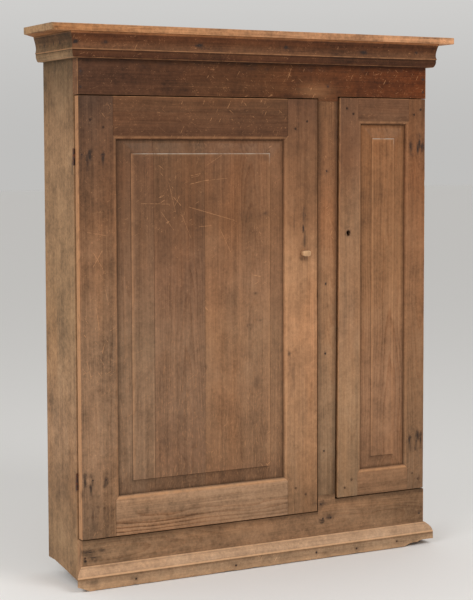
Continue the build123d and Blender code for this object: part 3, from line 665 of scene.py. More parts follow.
# ---- tones: display colours at heights, or at places across ----
TONES = {
    "left_door_hinge_stile": [
        (0.2, (121, 94, 71)), (0.4, (140, 108, 82)), (0.8, (138, 106, 80)), (1.2, (119, 85, 60)),
        (1.45, (100, 70, 50)), (1.6, (84, 60, 45)),
    ],
    "left_door_lock_stile": [
        (0.2, (135, 102, 74)), (0.42, (165, 125, 92)), (0.8, (174, 127, 91)),
        (1.05, (168, 124, 89)), (1.2, (142, 100, 69)), (1.4, (125, 87, 60)), (1.6, (103, 70, 49)),
    ],
    "left_door_top_rail": [(1.48, (88, 57, 38)), (1.62, (102, 69, 46))],
    "left_door_bottom_rail": [(0.17, (140, 109, 83)), (0.29, (157, 123, 94))],
    "left_door_panel_board_1": [
        (0.33, (124, 95, 72)), (0.4, (139, 109, 84)), (0.6, (143, 111, 85)), (0.8, (135, 105, 80)),
        (1.0, (132, 98, 73)), (1.2, (114, 82, 59)), (1.4, (109, 76, 54)), (1.48, (101, 73, 53)),
    ],
    "left_door_panel_board_2": [
        (0.33, (118, 88, 65)), (0.4, (128, 95, 71)), (0.6, (131, 99, 75)), (0.8, (134, 101, 76)),
        (1.0, (128, 93, 69)), (1.2, (110, 77, 54)), (1.4, (111, 78, 54)), (1.48, (103, 75, 54)),
    ],
    "left_door_panel_board_3": [
        (0.33, (122, 90, 66)), (0.4, (134, 100, 73)), (0.6, (142, 106, 78)), (0.8, (142, 107, 79)),
        (1.0, (141, 103, 75)), (1.2, (125, 88, 61)), (1.4, (124, 87, 61)), (1.48, (113, 80, 57)),
    ],
    "centre_stile": [
        (0.22, (126, 98, 72)), (0.45, (149, 117, 88)), (1.0, (148, 109, 78)), (1.2, (143, 100, 69)),
        (1.4, (125, 87, 60)), (1.6, (120, 83, 56)),
    ],
    "right_door_lock_stile": [
        (0.22, (134, 105, 78)), (0.6, (163, 127, 95)), (0.8, (153, 117, 88)), (1.2, (144, 108, 79)),
        (1.4, (124, 87, 62)), (1.6, (105, 73, 52)),
    ],
    "right_door_hinge_stile": [
        (0.22, (132, 101, 75)), (0.6, (142, 105, 75)), (1.0, (147, 104, 72)), (1.35, (137, 92, 61)),
        (1.6, (111, 75, 50)),
    ],
    "right_door_panel_board_1": [
        (0.3, (140, 103, 75)), (0.6, (154, 114, 84)), (1.0, (148, 106, 73)), (1.45, (136, 93, 61))
    ],
    "right_door_top_rail": [(1.53, (111, 77, 54)), (1.63, (107, 73, 51))],
    "right_door_bottom_rail": [(0.2, (141, 105, 76)), (0.3, (148, 110, 80))],
    "frieze": [(-0.68, (73, 47, 32)), (0.0, (83, 50, 28)), (0.68, (96, 49, 22))],
    "bottom_rail": [(-0.68, (141, 110, 82)), (0.1, (145, 110, 81)), (0.68, (131, 100, 73))],
    "cornice": [
        (1.743, (73, 41, 25)), (1.767, (71, 41, 22)), (1.776, (101, 67, 44)), (1.787, (99, 64, 41)),
        (1.8, (86, 51, 29)), (1.8185, (80, 45, 25)), (1.8235, (150, 96, 60)),
        (1.827, (165, 106, 65)),
    ],
    "return": [
        (1.743, (128, 103, 76)), (1.775, (118, 92, 64)), (1.80, (95, 70, 47)), (1.827, (88, 65, 44))
    ],
    # the side's last stops, darker up under the cornice return, are a painted shadow
    "side": [
        (0.02, (140, 109, 80)), (0.12, (142, 112, 82)), (0.32, (139, 107, 78)),
        (0.5, (154, 121, 92)), (0.9, (149, 117, 85)), (1.5, (142, 110, 80)), (1.66, (112, 87, 62)),
        (1.75, (88, 69, 48)),
    ],
    "top_board": [
        (-0.778, (140, 112, 80)), (-0.765, (162, 112, 71)), (0.0, (158, 115, 82)),
        (0.78, (182, 136, 101)),
    ],
    # the base's tones follow its profile: darker just under the lip is painted shade, paler on the
    # upward slope is painted light
    "base": [
        (0.0, (166, 134, 104)), (0.035, (168, 135, 104)), (0.042, (146, 112, 82)),
        (0.045, (186, 146, 112)), (0.053, (180, 146, 117)), (0.068, (180, 145, 114)),
        (0.08, (168, 134, 106)),
    ],
    "inner": [(0.0, (158, 128, 94)), (1.85, (146, 114, 82))],
    "back": [(0.0, (126, 103, 80)), (1.85, (112, 90, 70))],
}


# ---- stains that follow from the ironwork ----
def halo(node, half_u, half_v, strength, drop=0):
    """Dark iron stain round each nail of a node; drop is how far below it the stain is."""
    centres = [(low + high) / 2 for low, high in islands(node)]
    return [(c[0], c[2] - drop * MM, half_u, half_v, strength) for c in centres]


def near(stains, box, margin=25 * MM):
    """The stains and painted shadows that touch a piece's face."""
    low, high = box
    return [
        s
        for s in stains if low[
            0
        ] - margin < s[0] < high[0] + margin and low[2] - margin < s[1] < high[2] + margin
    ]


front_stains = halo("frame_nails", 6, 8, 0.55)
for door in DOORS:
    front_stains += halo(f"{door}_strap_nails", 6.5, 25, 0.85, 6)
    front_stains += halo(f"{door}_pegs", 5.5, 5.5, 0.35)

knob_low, knob_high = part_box("latch_knob")
knob_x = (knob_low[0] + knob_high[0]) / 2
knob_z = (knob_low[2] + knob_high[2]) / 2
case_low, case_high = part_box("lock_case")
KEYHOLE_IN_CASE = 37.5 * MM
keyhole_x = case_low[0] + KEYHOLE_IN_CASE
keyhole_z = (case_low[2] + case_high[2]) / 2
# a dark patch round the keyhole, a long dark split above the knob, and a painted shadow just under
# the knob, at (0, -17); millimetres from each
for x, z, spots in (
    (keyhole_x, keyhole_z, ((0, 0, 10.5, 12, 1.7), (0, 55, 4, 18, 0.5))),
    (
        knob_x, knob_z,
        (
            (-1, 125, 5, 42, 0.9), (-3, 90, 7, 18, 1.0), (2, 52, 5, 34, 0.75), (0, -17, 16, 6, 0.4),
            (-40, 120, 3, 60, 0.35), (-45, -420, 12, 70, 0.35), (-60, -350, 9, 9, 0.6),
        ),
    ),
):
    front_stains += [(x + right * MM, z + up * MM, *rest) for right, up, *rest in spots]
# damp marks at the rail's left end, and below the centre stile
front_stains += [
    (-0.64, 0.115, 26, 17, 1.0), (-0.60, 0.125, 18, 10, 0.7), (-0.645, 0.125, 16, 12, 1.0),
    (-0.662, 0.096, 7, 6, 1.3), (-0.645, 0.03, 22, 10, 0.45), (-0.63, 0.24, 16, 50, 0.5),
    (0.25, 0.13, 12, 8, 0.9), (0.275, 0.137, 16, 8, 0.8), (0.25, 0.19, 28, 12, 0.6),
]
# spots on the wide door's panel
panel_stains = [
    (0.02, 1.23, 10, 8, 0.55), (-0.02, 0.955, 16, 6, 0.6), (-0.04, 0.845, 14, 7, 0.5),
    (0.0, 0.86, 10, 5, 0.45), (-0.01, 0.645, 10, 26, 0.35), (-0.215, 0.71, 8, 18, 0.35),
    (-0.03, 0.51, 6, 16, 0.4), (-0.37, 0.47, 22, 12, 0.25), (0.02, 1.415, 9, 7, 0.3),
]

iron = rusty_iron("old_iron", 4.0)
nail_iron = rusty_iron("nail_iron", 9.0, base=(44, 32, 27), rust=(82, 50, 34))


def wood_for(node, grain, seed, tone=None, **extra):
    """Old wood for one CAD node, in its own tones or the named ones, with the stains and
    painted shadows that fall on it."""
    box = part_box(node)
    extra.setdefault("stains", near(front_stains, box))
    return old_wood(f"wood_{node}", grain, box, TONES[tone or node], seed, **extra)


def board(node, grain, seed, look, tone=None, **shape):
    """A board in its own wood; look is for the wood, shape for the mesh."""
    plank(node, grain, wood_for(node, grain, seed, tone, **look), seed, **shape)


# ---- carcass ----
left_side_low, left_side_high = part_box("left_side")
foot_wear = left_side_low[2]


def worn_foot(seed, front_rise, back_rise):
    """Lower limit of a side board, by its place back."""

    def edge(back):
        depth = left_side_high[1] - left_side_low[1]
        t = (back - left_side_low[1]) / depth
        ragged = 2.2 * MM * abs(wobble(seed, back, 60)) + 1.2 * MM * abs(wobble(seed, back, 140))
        rise = (back_rise - front_rise) * min(1.0, t * 1.25) ** 0.9
        return foot_wear + front_rise + rise + ragged

    return edge


side_front = left_side_low[1]
side_left_face = left_side_low[0]
# millimetres back from the front edge, metres up, then as old_wood's
SIDE_STAINS = {
    "left_side": (
        (10, 1.40, 9, 34, 0.6), (8, 0.35, 9, 30, 0.7), (24, 0.22, 10, 40, 0.35),
        (150, 0.30, 30, 22, 0.2), (60, 0.07, 16, 10, 0.35), (215, 0.60, 12, 70, 0.18),
    ),
    "right_side": ((10, 1.45, 9, 34, 0.5),),
}
# the grain is upright, but the mesh is built front to back so that its foot can wear away
for node, seed, back_wear in (("left_side", 11, 29 * MM), ("right_side", 12, 13 * MM)):
    side_wood = wood_for(
        node, "zyx", seed, "side", figure=0.5, scratches=0.35,
        stains=[(side_front + back * MM, *rest) for back, *rest in SIDE_STAINS[node]], streaks=0.85,
        dirt=1.5,
    )
    plank(
        node, "yzx", side_wood, seed, low_edge=worn_foot(seed, 0.5 * MM, back_wear),
        radius=2.0 * MM, step=9 * MM, hollow=0.2 * MM,
    )

for number, node in enumerate(("bottom_board", "shelf_1", "shelf_2", "shelf_3")):
    inner_look = dict(figure=1.1, scratches=0.3, stains=())
    board(node, "xyz", 20 + number, inner_look, "inner", radius=1.2 * MM, nicks=0.5)
for number in range(1, 6):
    back_look = dict(figure=1.3, scratches=0.1, stains=(), roughness=0.8)
    board(
        f"back_board_{number}", "zxy", 30 + number, back_look, "back", radius=0.9 * MM, nicks=0.6,
        step=30 * MM,
    )
board("rear_rail", "xzy", 41, dict(stains=()), "back")
for node in ("rear_foot_left", "rear_foot_right"):
    board(node, "zxy", 43, dict(stains=()), "back", radius=2.5 * MM)

cleats = Shell()
cleat_wood = wood_for("shelf_cleats", "yzx", 47, "inner", stains=())
for number, cleat_box in enumerate(islands("shelf_cleats")):
    plank("shelf_cleats", "yzx", cleat_wood, 50 + number, limits=cleat_box, into=cleats)
cleats.build("shelf_cleats", cleat_wood)

# ---- front frame ----
stile_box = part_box("centre_stile")
frieze_low, frieze_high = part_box("frieze")
rail_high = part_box("bottom_rail")[1]
stile_left = stile_box[0][0]
stile_right_top = stile_box[1][0]
stile_right_foot = stile_right_top - 9 * MM
FRIEZE_STEP_LEFT = 10 * MM
FRIEZE_STEP_RIGHT = 17 * MM
FRIEZE_SAG = 2.4 * MM
RAIL_STEP_LEFT = 59 * MM
RAIL_STEP_RIGHT = 20 * MM


def frieze_foot(across):
    """Lower edge of the frieze, with its tab over the centre stile."""
    rag = 0.6 * MM * (1 + wobble(61, across, 19))
    if across < stile_left:
        return frieze_low[2] + FRIEZE_STEP_LEFT + rag
    if across < stile_right_top:
        return frieze_low[2]
    sag = FRIEZE_SAG * max(0.0, 1 - (frieze_high[0] - across) / 0.09)
    return frieze_low[2] + FRIEZE_STEP_RIGHT + rag - sag


def rail_top(across):
    """Upper edge of the bottom rail, stepped from door to door."""
    rag = 0.6 * MM * (1 + wobble(62, across, 17))
    if across < stile_left:
        return rail_high[2] - RAIL_STEP_LEFT - rag
    if across < stile_right_foot:
        return rail_high[2]
    return rail_high[2] - RAIL_STEP_RIGHT - rag


def stile_right(up):
    """Right edge of the centre stile, which narrows towards the floor."""
    t = (up - stile_box[0][2]) / (stile_box[1][2] - stile_box[0][2])
    return stile_right_foot + (stile_right_top - stile_right_foot) * t


# a painted shadow on the frieze right under the cornice, all the way along
CORNICE_SHADOW = (0, 1.745, 20000, 14, 0.5)
board(
    "frieze", "xzy", 63,
    dict(
        tone_axis="x", scratches=1.7, figure=0.8, streaks=1.5, dirt=1.6,
        pales=((0.22, 1.65, 0.07, 0.028, 0.8), (-0.1, 1.66, 0.2, 0.015, 0.2)),
        stains=[*near(front_stains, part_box("frieze")), CORNICE_SHADOW],
    ),
    low_edge=frieze_foot, breaks=(stile_left, stile_right_top), worn=(0.25, 0.1),
    ends=(0.3, 0.0, 1.0), end_arris=0.9,
)
# shades paints the shadows the two doors cast along the stile's edges
board(
    "centre_stile", "zxy", 64, dict(scratches=0.9, streaks=1.2), high_edge=stile_right,
    ends=(0.0, 0.3, 0.2), worn=(0.15, 0.1), shades=(0.7, 1.1),
)
rail_wood = wood_for("bottom_rail", "xzy", 65, tone_axis="x", scratches=0.9, dirt=1.4)
rail = Shell()
# shades paints the soft shadow the doors cast on the rail below them
plank(
    "bottom_rail", "xzy", rail_wood, 65, high_edge=rail_top, breaks=(stile_left, stile_right_foot),
    worn=(0.2, 0.1), ends=(0.8, 0.0, 1.0), end_arris=1.0, shades=(0.0, 1.0), into=rail,
)
# the rail's lip behind the doors, up to the bottom board
board_low, board_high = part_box("bottom_board")
LIP_INSET = 12 * MM
lip = (
    Vector((board_low[0] + LIP_INSET, board_low[1], rail_high[2] - RAIL_STEP_LEFT - 5 * MM)),
    Vector((board_high[0] - LIP_INSET, rail_high[1] - 0.6 * MM, board_low[2])),
)
plank(
    "bottom_rail", "xzy", rail_wood, 66, radius=0.8 * MM, limits=lip, into=rail,
    ends=(0.1, 0.2, 0.5),
)
rail.build("bottom_rail", rail_wood)

# ---- top board, mouldings ----
top_low, top_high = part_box("top_board")
BREAK_ACROSS = 68 * MM
BREAK_BACK = 96 * MM


def broken_rear(across):
    """Rear edge of the top board; its left corner has split away."""
    t = (across - top_low[0]) / BREAK_ACROSS
    if t >= 1:
        return top_high[1]
    splinter = 5 * MM * abs(wobble(71, across, 90)) + 3 * MM * abs(wobble(72, across, 210))
    return top_high[1] - BREAK_BACK * (1 - max(t, 0.0)) - splinter


def chewed_front(across):
    """Front edge of the top board, splintered near its left end."""
    near_left = max(0.0, 1 - (across - top_low[0]) / 0.22)
    return top_low[1] + 5 * MM * near_left * max(0.0, wobble(73, across, 38))


board(
    "top_board", "xyz", 70,
    dict(
        tone_axis="x", figure=1.3, scratches=0.9, stains=(), streaks=1.9, dirt=1.8,
        wear_colour=(222, 168, 122), knots=((-0.09, 0.31, 0.017), (0.06, -0.35, 0.02)),
    ),
    radius=2.6 * MM, low_edge=chewed_front, high_edge=broken_rear, step=8 * MM, nicks=1.3,
)

# millimetres; the wear at the foot's edge is partly a painted highlight line, and the grime in the
# quirk above the bead is painted shade
CORNICE_SECTION = [
    (0, 0, 0, 1), (17.6, 0, 0.3, 0.2), (19.2, 0.6, 0.9, 0),
    *((r, u, 0.05, 0.1) for r, u in bowed((19, 0), (24.8, 10), (26.5, 24), 6)),
    (26.2, 24.4, 0, 0.9), (26.3, 26, 0, 0.9), (28, 26.8, 0.7, 0), (28.4, 28.2, 0.9, 0),
    (28, 29.8, 0.2, 0), *((r, u, 0, 0.1) for r, u in bowed((28.4, 30), (26, 48), (33, 79), 9)),
    (33, 79, 0.1, 0.2), (33.8, 80.4, 0.5, 0), (34, 82.6, 0.4, 0), (33.4, 84, 0.2, 0.3),
    (0, 84, 0, 1),
]
# millimetres; the grime just under the lip is painted shade, and the lip's wear is worn arris and
# painted highlight together
BASE_SECTION = [
    (0, 0, 0, 1), (23, 0, 0.4, 0.5), (25.4, 0.8, 0.6, 0.3), (26, 3, 0.3, 0), (26, 24, 0.0, 0),
    (26, 40, 0.0, 0.45), (25.9, 43.4, 0.1, 0.85), (26, 44.8, 1.0, 0), (25.8, 47.2, 1.3, 0),
    (24.8, 49.4, 0.9, 0), (24.6, 50.4, 0.1, 0.25),
    *((r, u, 0.1, 0) for r, u in bowed((24.5, 49.5), (18.5, 64), (4, 78), 8)), (3.6, 78.2, 0.7, 0),
    (2.4, 78.8, 0.3, 0.5), (0, 79, 0.1, 1),
]


CHIP_TOP = 30 * MM
CHIP_FADE = 34 * MM
RIGHT_BITE = 19 * MM


def base_chips(across, up):
    """Bites out of the base moulding's foot, worst at both ends."""
    if up > CHIP_TOP:
        return 0.0
    low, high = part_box("base_moulding_front")
    left = max(0.0, 1 - (across - low[0]) / 0.04)
    right = min(1.0, max(0.0, 1 - (high[0] - across) / 0.13) * 1.5)
    bite = 15 * MM * left
    bite += RIGHT_BITE * right * (0.95 + 0.25 * wobble(82, across, 60))
    lip = max(0.0, 1 - abs(across - low[0] - 0.05) / 0.022)
    ragged = 3.5 * MM * max(0.0, wobble(83, across, 17)) + 1.8 * MM * abs(wobble(84, across, 70))
    bite += (1.2 * MM + ragged) * (1 - lip)
    return min(bite, RIGHT_BITE) * (1 - up / CHIP_FADE)


def return_chips(back, up):
    """The same broken corner, carried round onto the right return."""
    if up > CHIP_TOP:
        return 0.0
    low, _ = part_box("base_moulding_right_return")
    near_corner = min(1.0, max(0.0, 1 - (back - low[1]) / 0.08) * 2)
    return RIGHT_BITE * near_corner * (0.95 + 0.25 * wobble(85, back, 60)) * (1 - up / CHIP_FADE)


def moulding(node, direction, section, seed, chips=None, **look):
    """One run of a moulding, in its own wood; section is in millimetres."""
    grain, ends = ("xzy", (1, 1)) if direction == "front" else ("yzx", (1, 0))
    wood = wood_for(node, grain, seed, figure=0.3, scratches=1.2, **look)
    section = [(r * MM, u * MM, w, g) for r, u, w, g in section]
    moulding_run(node, direction, section, wood, seed, ends, chips)


cornice_stains = {
    "cornice_front": halo("cornice_nails", 10, 7, 1.2),
    "cornice_left_return": [
        ((low[1] + high[1]) / 2, (low[2] + high[2]) / 2, 5.5, 7, 1.2)
        for low, high in islands("cornice_nails") if high[0] < side_left_face + 1 * MM
    ],
    "cornice_right_return": (),
}
for node, direction, tone, seed in (
    ("cornice_front", "front", "cornice", 75), ("cornice_left_return", "left", "return", 76),
    ("cornice_right_return", "right", "return", 77),
):
    moulding(
        node, direction, CORNICE_SECTION, seed, tone=tone, stains=cornice_stains[node], streaks=2.0,
        dirt=1.7,
    )
for node, direction, chips, seed in (
    ("base_moulding_front", "front", base_chips, 78),
    ("base_moulding_right_return", "right", return_chips, 79),
):
    moulding(
        node, direction, BASE_SECTION, seed, chips, tone="base", wear_colour=(214, 168, 126),
        wear_amount=2.2, streaks=1.1, dirt=1.3,
    )


# ---- doors ----
def stuck_moulding(shell, span, shoulder, towards, along_axis, front, back, seed, rub_and_sheen):
    """Small round moulding along one inner edge, mitred at both ends.  shoulder is where
    it starts, towards is +1 or -1 across, span is the shoulder's own ends."""
    m = STUCK_MOULDING
    # wear on the flat and up the round is partly worn edge, partly a painted highlight; grime
    # rising down the round into the rebate is painted shadow
    section = [(0.0, 0.0, 0.1 * rub_and_sheen, 0.0), (3.6 * MM, 0.0, 0.35 * rub_and_sheen, 0.0)]
    for k in range(0, 6):
        angle = math.pi / 2 * k / 5
        t = 5 * MM + 9 * MM * math.sin(angle)
        worn = (0.7, 0.7, 0.45, 0.15, 0, 0)[k] * rub_and_sheen
        section.append((t, 9 * MM * (1 - math.cos(angle)), worn, (0, 0, 0.1, 0.35, 0.6, 0.8)[k]))
    section += [
        (m, PANEL_REBATE, 0.0, 1.0), (m, back - front, 0.0, 0.5), (0.0, back - front, 0.0, 0.3)
    ]
    count = max(2, math.ceil((span[1] - span[0]) / (22 * MM)))
    rings, wear_and_sheen, grime_and_painted_light = [], [], []
    for k in range(count + 1):
        f = k / count
        ring = []
        for t, depth, _, _ in section:
            l = (span[0] + t) * (1 - f) + (span[1] - t) * f
            rub = 0.25 * MM * (1 + wobble(seed, l, 27)) if 0 < depth < PANEL_REBATE * 0.6 else 0.0
            a = shoulder + towards * t
            p = [0.0, front + depth + rub, 0.0]
            p[along_axis] = l
            p[2 - along_axis] = a
            ring.append(Vector(p))
        rings.append(ring)
        wear_and_sheen.append([s[2] for s in section])
        grime_and_painted_light.append([s[3] for s in section])
    shell.skin(rings, wear_and_sheen, grime_and_painted_light)


def panel_loop(x0, x1, z0, z1, depth, sides):
    """Rectangle of points at one depth, each side cut into equal steps."""
    corners = [(x0, z0), (x1, z0), (x1, z1), (x0, z1)]
    loop = []
    for k in range(4):
        start, end = corners[k], corners[(k + 1) % 4]
        for s in range(sides):
            t = s / sides
            loop.append(
                Vector((start[0] * (1 - t) + end[0] * t, depth, start[1] * (1 - t) + end[1] * t))
            )
    return loop


def panel_shell(opening, bevels, front):
    """Whole raised panel: thin edge, dished bevel, small step, flat field."""
    x0, x1, z0, z1 = opening
    left, right, foot, head = bevels
    tongue = 9 * MM
    side_points = 26
    rings, wear_and_sheen, grime_and_painted_light = [], [], []

    def by_side(amount):
        """One value all round, or four: foot, right, head, left."""
        four = amount if isinstance(amount, tuple) else (amount,) * 4
        return [value for value in four for _ in range(side_points)]

    def ring(share, depth, worn, dirt_and_painted_light, beyond=0.0):
        rings.append(
            panel_loop(
                x0 - beyond + left * share, x1 + beyond - right * share, z0 - beyond + foot * share,
                z1 + beyond - head * share, front + depth, side_points,
            )
        )
        wear_and_sheen.append(by_side(worn))
        grime_and_painted_light.append(by_side(dirt_and_painted_light))

    ring(0, 16.8 * MM, 0, 0, tongue)
    ring(0, PANEL_REBATE + 0.2 * MM, 0, 0, tongue)
    # grime paints shade at the rebate corner, down the foot and left bevels and under the field's
    # step; negative values along the head paint a grey highlight; the wear rims round the field are
    # partly rubbing, partly painted highlight
    ring(0, PANEL_REBATE, 0, 1.0)
    ring(0.06, PANEL_REBATE - 0.25 * MM, 0, (0.75, 0.6, 0.5, 0.65))
    for share, depth, shade in (
        (0.25, 10.0, 0.2), (0.5, 8.8, 0.25), (0.75, 7.5, 0.4), (0.92, 6.5, 0.7)
    ):
        ring(share, depth * MM, 0, (shade, 0.03, -0.05, 0.3 * shade))
    ring(0.955, FIELD_STEP_DEPTH + 0.05 * MM, 0, (0.95, 0.3, 0.1, 0.75))
    ring(0.985, FIELD_STEP_DEPTH - 0.1 * MM, 0, (1.1, 0.35, 0.0, 0.9))
    ring(1.0, FIELD_DEPTH + 0.7 * MM, (0, 0.3, 0, 0.2), (0.6, 0.0, -0.7, 0.2))
    ring(1.02, FIELD_DEPTH + 0.1 * MM, (0.1, 0.45, 0.2, 0.5), (0, 0, -1.0, 0))
    ring(1.05, FIELD_DEPTH, (0.05, 0.35, 0.3, 0.45), (0, 0, -0.3, 0))
    ring(1.12, FIELD_DEPTH, (0, 0.2, 0.15, 0.28), 0)
    ring(1.25, FIELD_DEPTH, 0, 0)
    shell = Shell()
    shell.skin(rings, wear_and_sheen, grime_and_painted_light)
    return shell


def cut_board(shell, limits, material, node):
    """One board of the panel: the whole panel trimmed between two upright planes."""
    piece = shell.build(node, material)
    work = bmesh.new()
    work.from_mesh(piece.data)
    for place, direction in ((limits[0], -1), (limits[1], 1)):
        if place is None:
            continue
        bmesh.ops.bisect_plane(
            work, geom=work.verts[:] + work.edges[:] + work.faces[:], plane_co=(place, 0, 0),
            plane_no=(direction, 0, 0), clear_outer=True,
        )
        rim = [e for e in work.edges if e.is_boundary]
        bmesh.ops.holes_fill(work, edges=rim)
    bmesh.ops.recalc_face_normals(work, faces=work.faces)
    work.to_mesh(piece.data)
    work.free()
    piece.data.set_sharp_from_angle(angle=math.radians(24))
    return piece


# how bare the outer arris of a door's stile is, where it is more than a little
EDGE_SHOWS = {"left_door_hinge_stile": 1.4, "right_door_lock_stile": 1.0}
# how much narrower the right door's lock stile is at its head than at its foot
LOCK_STILE_TAPER = 8 * MM


def build_door(door, bevels, boards, seed):
    """Stiles, rails with stuck mouldings, and the panel's boards."""
    sides = ("hinge", "lock") if door == "left_door" else ("lock", "hinge")
    first, second = (f"{door}_{side}_stile" for side in sides)
    foot, head = f"{door}_bottom_rail", f"{door}_top_rail"
    x0, x1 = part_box(first)[1][0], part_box(second)[0][0]
    z0, z1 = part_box(foot)[1][2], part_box(head)[0][2]
    front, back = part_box(first)[0][1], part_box(first)[1][1]
    m = STUCK_MOULDING
    made = {}
    for node, shoulder, towards in ((first, x0 - m, 1), (second, x1 + m, -1)):
        low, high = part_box(node)
        shell = Shell()
        limits = (low.copy(), high.copy())
        limits[1 if towards > 0 else 0][0] = shoulder
        shows = EDGE_SHOWS.get(node, 0.25)
        if towards > 0:
            edges = dict(soft=(1.0, 0.05), worn=(0.6 * shows + 0.25, 0.0), bare=(shows, 0.0))
        else:
            edges = dict(soft=(0.05, 1.0), worn=(0.0, 0.4), bare=(0.0, shows))
        if node == "right_door_lock_stile":

            def slant(up, low=low, high=high):
                return low[0] + LOCK_STILE_TAPER * (up - low[2]) / (high[2] - low[2])

            edges["low_edge"] = slant
        wood = wood_for(node, "zxy", seed, **looks.get(node, {}))
        plank(node, "zxy", wood, seed, limits=limits, into=shell, ends=(0.2, 0.1, 1.0), **edges)
        stuck_moulding(shell, (z0 - m, z1 + m), shoulder, towards, 2, front, back, seed, 0.45)
        made[node] = shell.build(node, wood)
        seed += 1
    for node, shoulder, towards in ((foot, z0 - m, 1), (head, z1 + m, -1)):
        low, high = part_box(node)
        limits = (Vector((x0 - m, front, low[2])), Vector((x1 + m, back, high[2])))
        limits[1 if towards > 0 else 0][2] = shoulder
        shell = Shell()
        wood = wood_for(node, "xzy", seed, **looks.get(node, {}))
        soft = (1.0, 0.05) if towards > 0 else (0.05, 1.0)
        worn = (0.3, 0.0) if towards > 0 else (0.0, 1.2)
        plank(
            node, "xzy", wood, seed, limits=limits, into=shell, soft=soft, worn=worn,
            ends=(0.0, 0.75 if door == "left_door" else 0.2, 0.3),
        )
        # the foot rail's moulding faces up, so it gets the stronger painted highlight
        rub_and_sheen = 1.7 if towards > 0 else 0.8
        stuck_moulding(shell, (x0 - m, x1 + m), shoulder, towards, 0, front, back, seed, rub_and_sheen)
        made[node] = shell.build(node, wood)
        seed += 1
    seams = (None, 0.5 * MM, 0.25 * MM, None)
    whole = (Vector((x0, front, z0)), Vector((x1, back, z1)))
    for number in range(1, boards + 1):
        node = f"{door}_panel_board_{number}"
        low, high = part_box(node)
        limits = (
            low[0] + seams[number - 1] if number > 1 else None,
            high[0] - seams[number] if number < boards else None,
        )
        lift = (0, 0.35, 0.1)[number - 1] * MM
        shell = panel_shell((x0, x1, z0, z1), bevels, front + lift)
        box = (Vector((low[0], whole[0][1], low[2])), Vector((high[0], whole[1][1], high[2])))
        wood = old_wood(
            f"wood_{node}", "zxy", box, TONES[node], seed, stains=near(panel_stains, box, 5 * MM),
            **looks.get(node, {}),
        )
        cut_board(shell, limits, wood, node)
        seed += 1
    return made


def scratch_lines(*lines):
    """Scratches, from and to a place, in millimetres from the left side's face and the
    floor, with a half width where it isn't the usual one."""
    made = []
    for x0, z0, x1, z1, *own in lines:
        half = own[0] if own else 1.3
        made.append(
            (side_left_face + x0 * MM, z0 * MM, side_left_face + x1 * MM, z1 * MM, half * MM)
        )
    return made


PANEL_SCRATCHES = scratch_lines(
    (226, 1271, 330, 1267), (345, 1290, 372, 1262, 1.8), (350, 1262, 366, 1292),
    (403, 1256, 575, 1208), (411, 1361, 446, 1368, 1.2), (441, 1189, 486, 1192),
    (408, 1333, 455, 1343, 1.7), (420, 1336, 477, 1347), (466, 1344, 549, 1352, 1.0),
    (413, 1355, 440, 1361, 1.0), (470, 1395, 528, 1430, 0.8), (293, 1395, 309, 1383, 1.6),
    (296, 1372, 306, 1362), (300, 1240, 345, 1180, 1.0), (372, 1240, 410, 1150, 0.9),
    (520, 1180, 560, 1100), (648, 1018, 676, 1012, 2.2), (330, 1330, 352, 1240, 1.0),
)
STILE_SCRATCHES = scratch_lines(
    (52, 1112, 84, 1060), (82, 1118, 50, 1066), (30, 1180, 96, 1168, 1.0), (60, 930, 70, 860),
    (88, 1010, 104, 940, 1.0), (24, 760, 40, 700),
)
looks = {
    "left_door_hinge_stile": dict(
        scratches=1.3, figure=0.6, streaks=1.4, dirt=1.3, strokes=STILE_SCRATCHES,
        dashes=(1.3, 0.4, 0.4),
    ),
    "left_door_lock_stile": dict(scratches=0.5, figure=0.6, streaks=1.15, dashes=(1.5, 0.4, 0.35)),
    "left_door_top_rail": dict(scratches=1.1, figure=0.9, streaks=1.2),
    "left_door_bottom_rail": dict(
        scratches=0.6, figure=3.8, streaks=1.5, dirt=1.3, ring=0.009, figure_band=(0.252, 0.205),
        swirl=3.0,
    ),
    "left_door_panel_board_1": dict(
        scratches=0.6, figure=0.6, streaks=1.15, strokes=PANEL_SCRATCHES[:1], dashes=(1.2, 0.5, 0.5)
    ),
    "left_door_panel_board_2": dict(
        scratches=1.0, figure=1.0, streaks=1.15, knots=((-0.3, 0.38, 0.022),), knot_dark=0.0,
        strokes=PANEL_SCRATCHES, dashes=(1.2, 0.5, 0.6),
    ),
    "left_door_panel_board_3": dict(
        scratches=0.9, figure=1.0, streaks=1.15, knots=((-0.05, 0.52, 0.024),), knot_dark=0.0,
        strokes=PANEL_SCRATCHES[3:], dashes=(1.2, 0.5, 0.55),
    ),
    "right_door_hinge_stile": dict(scratches=0.5, figure=0.8),
    "right_door_lock_stile": dict(scratches=0.4, figure=0.7),
    "right_door_panel_board_1": dict(scratches=0.3, figure=1.3, ring=0.006),
}
build_door("left_door", (52 * MM, 55 * MM, 47 * MM, 45 * MM), 3, 100)
right_made = build_door("right_door", (46 * MM, 47 * MM, 43 * MM, 49 * MM), 1, 120)


# millimetres from the keyhole's centre; the round part is drawn from its right foot
SLOT_HALF, SLOT_FOOT = 6.2, -9.5
EYE_RADIUS, EYE_UP = 8.2, 2
EYE_START, EYE_TURN, EYE_POINTS = -46.6, 19.5, 15


